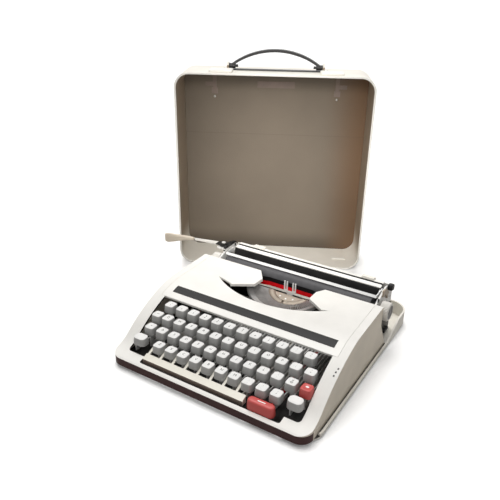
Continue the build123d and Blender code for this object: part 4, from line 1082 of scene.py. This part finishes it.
class TYPEWRITER_OT_lid_fittings(bpy.types.Operator):
    """Make the lid's rivets, blocks, patches, handle strip, rim bead and catch plates."""

    bl_idname = "typewriter.lid_fittings"
    bl_label = "Lid fittings"

    def execute(self, context):
        def fitting(name, shapes, finish):
            make_piece(name, shapes, finish, "lid")

        head = lathe([(0, 0), (1.9, 0), (1.85, 0.5), (1.3, 1.1), (0, 1.3)], 26)
        rivets = [on_lid(head, along, 276.5, LID_WALL + 1.0) for along in (54.0, 258.0)]
        rivets += [on_lid(head, along, LID_HEIGHT, depth, (LID_ALONG, LID_FRONT, UP))
                   for along in (74.0, 238.0) for depth in (30.0, 50.0)]
        fitting("lid_rivets", rivets, "brushed_steel")

        block = plate(rounded_outline(18.0, 13.5, 2.5, 40), 0.0, 3.6, 0.8)
        blocks = [on_lid(block, along, LID_HEIGHT, 63.0, STANDING) for along in (72.0, 244.0)]
        tab = plate(rounded_outline(12.0, 3.0, 1.2, 32), 0.0, 1.6, 0.4)
        blocks.append(on_lid(tab, 280.0, LID_WALL, 45.0, STANDING))
        fitting("lid_blocks", blocks, "case_cream")

        patches = [
            on_lid(plate(rounded_outline(half_x, half_y, 0.8, 24), 0.0, 0.7, 0.2), along, height,
                   LID_WALL + 1.0)
            for along, height, half_x, half_y in (
                (156.5, 298.0, 31.0, 5.2), (47.5, 297.0, 9.0, 3.2), (264.5, 297.0, 9.0, 3.2))
        ]
        fitting("lid_patches", patches, "bracket_taupe")

        strip = plate(rounded_outline(79.0, 6.5, 3.0, 48), 0.0, 1.2)
        base = on_lid(strip, LID_WIDTH / 2.0, LID_HEIGHT, LID_DEPTH / 2.0, STANDING)
        fitting("handle_base_strip", [base], "handle_plastic")

        ring = rounded_outline(LID_WIDTH / 2.0 - 1.5, LID_HEIGHT / 2.0 - 1.5, 22.5, 160)
        section = ((-1.5, 0.0), (-1.45, 0.9), (-0.7, 1.5), (0.7, 1.5), (1.45, 0.9), (1.5, 0.0))
        bead = skin([raised(ring + outward_normals(ring) * out, level)
                     for out, level in section], close_rows=True)
        fitting("lid_rim_bead", [on_lid(bead, LID_WIDTH / 2.0, LID_HEIGHT / 2.0, LID_DEPTH)],
                "case_cream")

        catch = plate(rounded_outline(8.0, 5.0, 1.5, 28), 0.0, 0.7, 0.2)
        plates = [on_lid(catch, along, LID_HEIGHT - 2.9, 16.0, HANGING)
                  for along in (54.0, 258.0)]
        fitting("catch_plates", plates, "plated_steel")
        return {"FINISHED"}


class TYPEWRITER_OT_bell(bpy.types.Operator):
    """Make the round margin bell in place of the frame's faceted one."""

    bl_idname = "typewriter.bell"
    bl_label = "Margin bell"

    def execute(self, context):
        profile = [(0.0, 9.0), (3.0, 8.95), (6.5, 8.3), (10.0, 5.9), (12.6, 2.8), (13.8, 0.6),
                   (13.9, 0.0), (12.9, 0.0), (11.8, 2.4), (9.3, 5.1), (6.0, 7.2), (2.4, 7.7),
                   (0.0, 7.7)]
        screw = placed(slotted_head(2.4, 0.9), UP * 8.9 + BELL)
        make_piece("margin_bell", [placed(lathe(profile, 72), BELL), (*screw, 1)],
                   "bell_brass brushed_steel", "machine", replaces=("bell",))
        return {"FINISHED"}


# Stage

def add_camera(settings):
    """The camera at the photograph's place, aimed by its yaw, pitch and roll."""
    yaw, pitch, roll = settings.camera_yaw, settings.camera_pitch, settings.camera_roll
    forward = Vector((-math.sin(yaw) * math.cos(pitch), math.cos(yaw) * math.cos(pitch),
                      -math.sin(pitch)))
    right = Vector((math.cos(yaw), math.sin(yaw), 0.0))
    up = right.cross(forward)
    across = right * math.cos(roll) + up * math.sin(roll)
    upward = -right * math.sin(roll) + up * math.cos(roll)
    data = bpy.data.cameras.new("camera")
    data.lens = settings.lens
    data.sensor_width = 36.0
    data.clip_end = 60.0
    camera = bpy.data.objects.new("camera", data)
    bpy.context.scene.collection.objects.link(camera)
    camera.matrix_world = Matrix((across, upward, -forward)).transposed().to_4x4()
    camera.location = settings.camera_place
    bpy.context.scene.camera = camera


def add_floor():
    """A wide pale floor: nearly white to the camera, dimmer to the light that it returns."""
    side = 24.0
    mesh = bpy.data.meshes.new("floor")
    mesh.from_pydata([(-side, -side, 0.0), (side, -side, 0.0), (side, side, 0.0),
                      (-side, side, 0.0)], [], [(0, 1, 2, 3)])
    floor = bpy.data.objects.new("floor", mesh)
    bpy.context.scene.collection.objects.link(floor)
    pale = Surface("floor_pale")
    seen = Field(pale.tree, add_node(pale.tree, "ShaderNodeLightPath").outputs["Is Camera Ray"])
    set_inputs(pale.tree, pale.shader, {
        "Base Color": pale.blend(seen, (0.45, 0.44, 0.43), (0.97, 0.97, 0.97)),
        "Emission Color": (1.0, 1.0, 1.0, 1.0), "Emission Strength": (seen * 0.09).socket,
        "Roughness": 0.9,
    })
    mesh.materials.append(pale.material)


def add_lamp(name, light, place, target, energy, colour):
    """A lamp at a place, turned to a target and unseen by the camera."""
    light.energy = energy
    light.color = colour
    made = bpy.data.objects.new(name, light)
    bpy.context.scene.collection.objects.link(made)
    made.location = place
    made.visible_camera = False
    made.rotation_euler = (Vector(target) - Vector(place)).to_track_quat("-Z", "Y").to_euler()


def add_world(sky):
    """White to the camera, gloss and glass; to all other rays a sky brightest overhead."""
    world = bpy.data.worlds.new("studio")
    bpy.context.scene.world = world
    world.use_nodes = True
    tree = world.node_tree
    tree.nodes.clear()
    direction = add_node(tree, "ShaderNodeTexCoord").outputs["Generated"]
    parts = add_node(tree, "ShaderNodeSeparateXYZ", {0: direction})
    overhead = add_node(tree, "ShaderNodeMapRange", {
        "Value": parts.outputs[2], "From Min": 0.0, "From Max": 0.9, "To Min": 0.2 * sky,
        "To Max": sky,
    })
    dim = add_node(tree, "ShaderNodeBackground", {
        "Color": (1.0, 0.995, 0.985, 1.0), "Strength": overhead.outputs["Result"]})
    white = add_node(tree, "ShaderNodeBackground",
                     {"Color": (1.0, 1.0, 1.0, 1.0), "Strength": 1.0})
    path = add_node(tree, "ShaderNodeLightPath")
    camera, glossy, glass = (Field(tree, path.outputs[f"Is {kind} Ray"])
                             for kind in ("Camera", "Glossy", "Transmission"))
    mix = add_node(tree, "ShaderNodeMixShader", {
        0: camera.either(glossy).either(glass).socket, 1: dim.outputs[0], 2: white.outputs[0]})
    add_node(tree, "ShaderNodeOutputWorld", {0: mix.outputs[0]})


class TYPEWRITER_OT_stage(bpy.types.Operator):
    """Make the floor, the camera and the lamps."""

    bl_idname = "typewriter.stage"
    bl_label = "Stage"

    def execute(self, context):
        settings = context.scene.typewriter_stage
        add_camera(settings)
        add_floor()
        sun = bpy.data.lights.new("sun_lamp", "SUN")
        sun.angle = math.radians(30.0)
        add_lamp("sun_lamp", sun, (-0.45, 0.4, 2.0), (0.0, 0.0, 0.0), settings.sun,
                 (1.0, 0.99, 0.975))
        soft = bpy.data.lights.new("lid_lamp", "AREA")
        soft.size = 0.25
        soft.spread = math.radians(56.0)
        add_lamp("lid_lamp", soft, (0.05, -0.15, 0.37), (-0.1, 0.2, 0.16), settings.lid_lamp,
                 (1.0, 0.97, 0.93))
        add_world(settings.sky)
        context.scene.view_settings.view_transform = "Standard"
        return {"FINISHED"}


# Registration

OPERATORS = (
    TYPEWRITER_OT_finishes, TYPEWRITER_OT_key_caps, TYPEWRITER_OT_bars,
    TYPEWRITER_OT_cover_trim, TYPEWRITER_OT_housing_marks, TYPEWRITER_OT_platen_knobs,
    TYPEWRITER_OT_carriage_trim, TYPEWRITER_OT_basket_trim, TYPEWRITER_OT_windings,
    TYPEWRITER_OT_lid_shade_panel, TYPEWRITER_OT_lid_fittings, TYPEWRITER_OT_bell,
    TYPEWRITER_OT_stage,
)
STEPS = tuple(made.bl_idname.split(".")[1] for made in OPERATORS)


class TYPEWRITER_PT_dress(bpy.types.Panel):
    """Sidebar panel with the settings and one button for each step."""

    bl_idname = "TYPEWRITER_PT_dress"
    bl_label = "Portable typewriter"
    bl_space_type = "VIEW_3D"
    bl_region_type = "UI"
    bl_category = "Typewriter"

    def draw(self, context):
        scene = context.scene
        for group in (scene.typewriter_colours, scene.typewriter_keys, scene.typewriter_stage):
            box = self.layout.box()
            for name in group.bl_rna.properties.keys():
                if name not in ("rna_type", "name"):
                    box.prop(group, name)
        for step in STEPS:
            self.layout.operator(f"typewriter.{step}")


CLASSES = (FinishColours, KeySettings, StageSettings, *OPERATORS, TYPEWRITER_PT_dress)


def register():
    for made in CLASSES:
        bpy.utils.register_class(made)
    bpy.types.Scene.typewriter_colours = PointerProperty(type=FinishColours)
    bpy.types.Scene.typewriter_keys = PointerProperty(type=KeySettings)
    bpy.types.Scene.typewriter_stage = PointerProperty(type=StageSettings)


def unregister():
    del bpy.types.Scene.typewriter_stage
    del bpy.types.Scene.typewriter_keys
    del bpy.types.Scene.typewriter_colours
    for made in reversed(CLASSES):
        bpy.utils.unregister_class(made)


def main():
    """Registers the settings and runs every step in order."""
    register()
    for step in STEPS:
        if getattr(bpy.ops.typewriter, step)() != {"FINISHED"}:
            raise RuntimeError(f"step {step} did not finish")


if __name__ == "__main__":
    main()
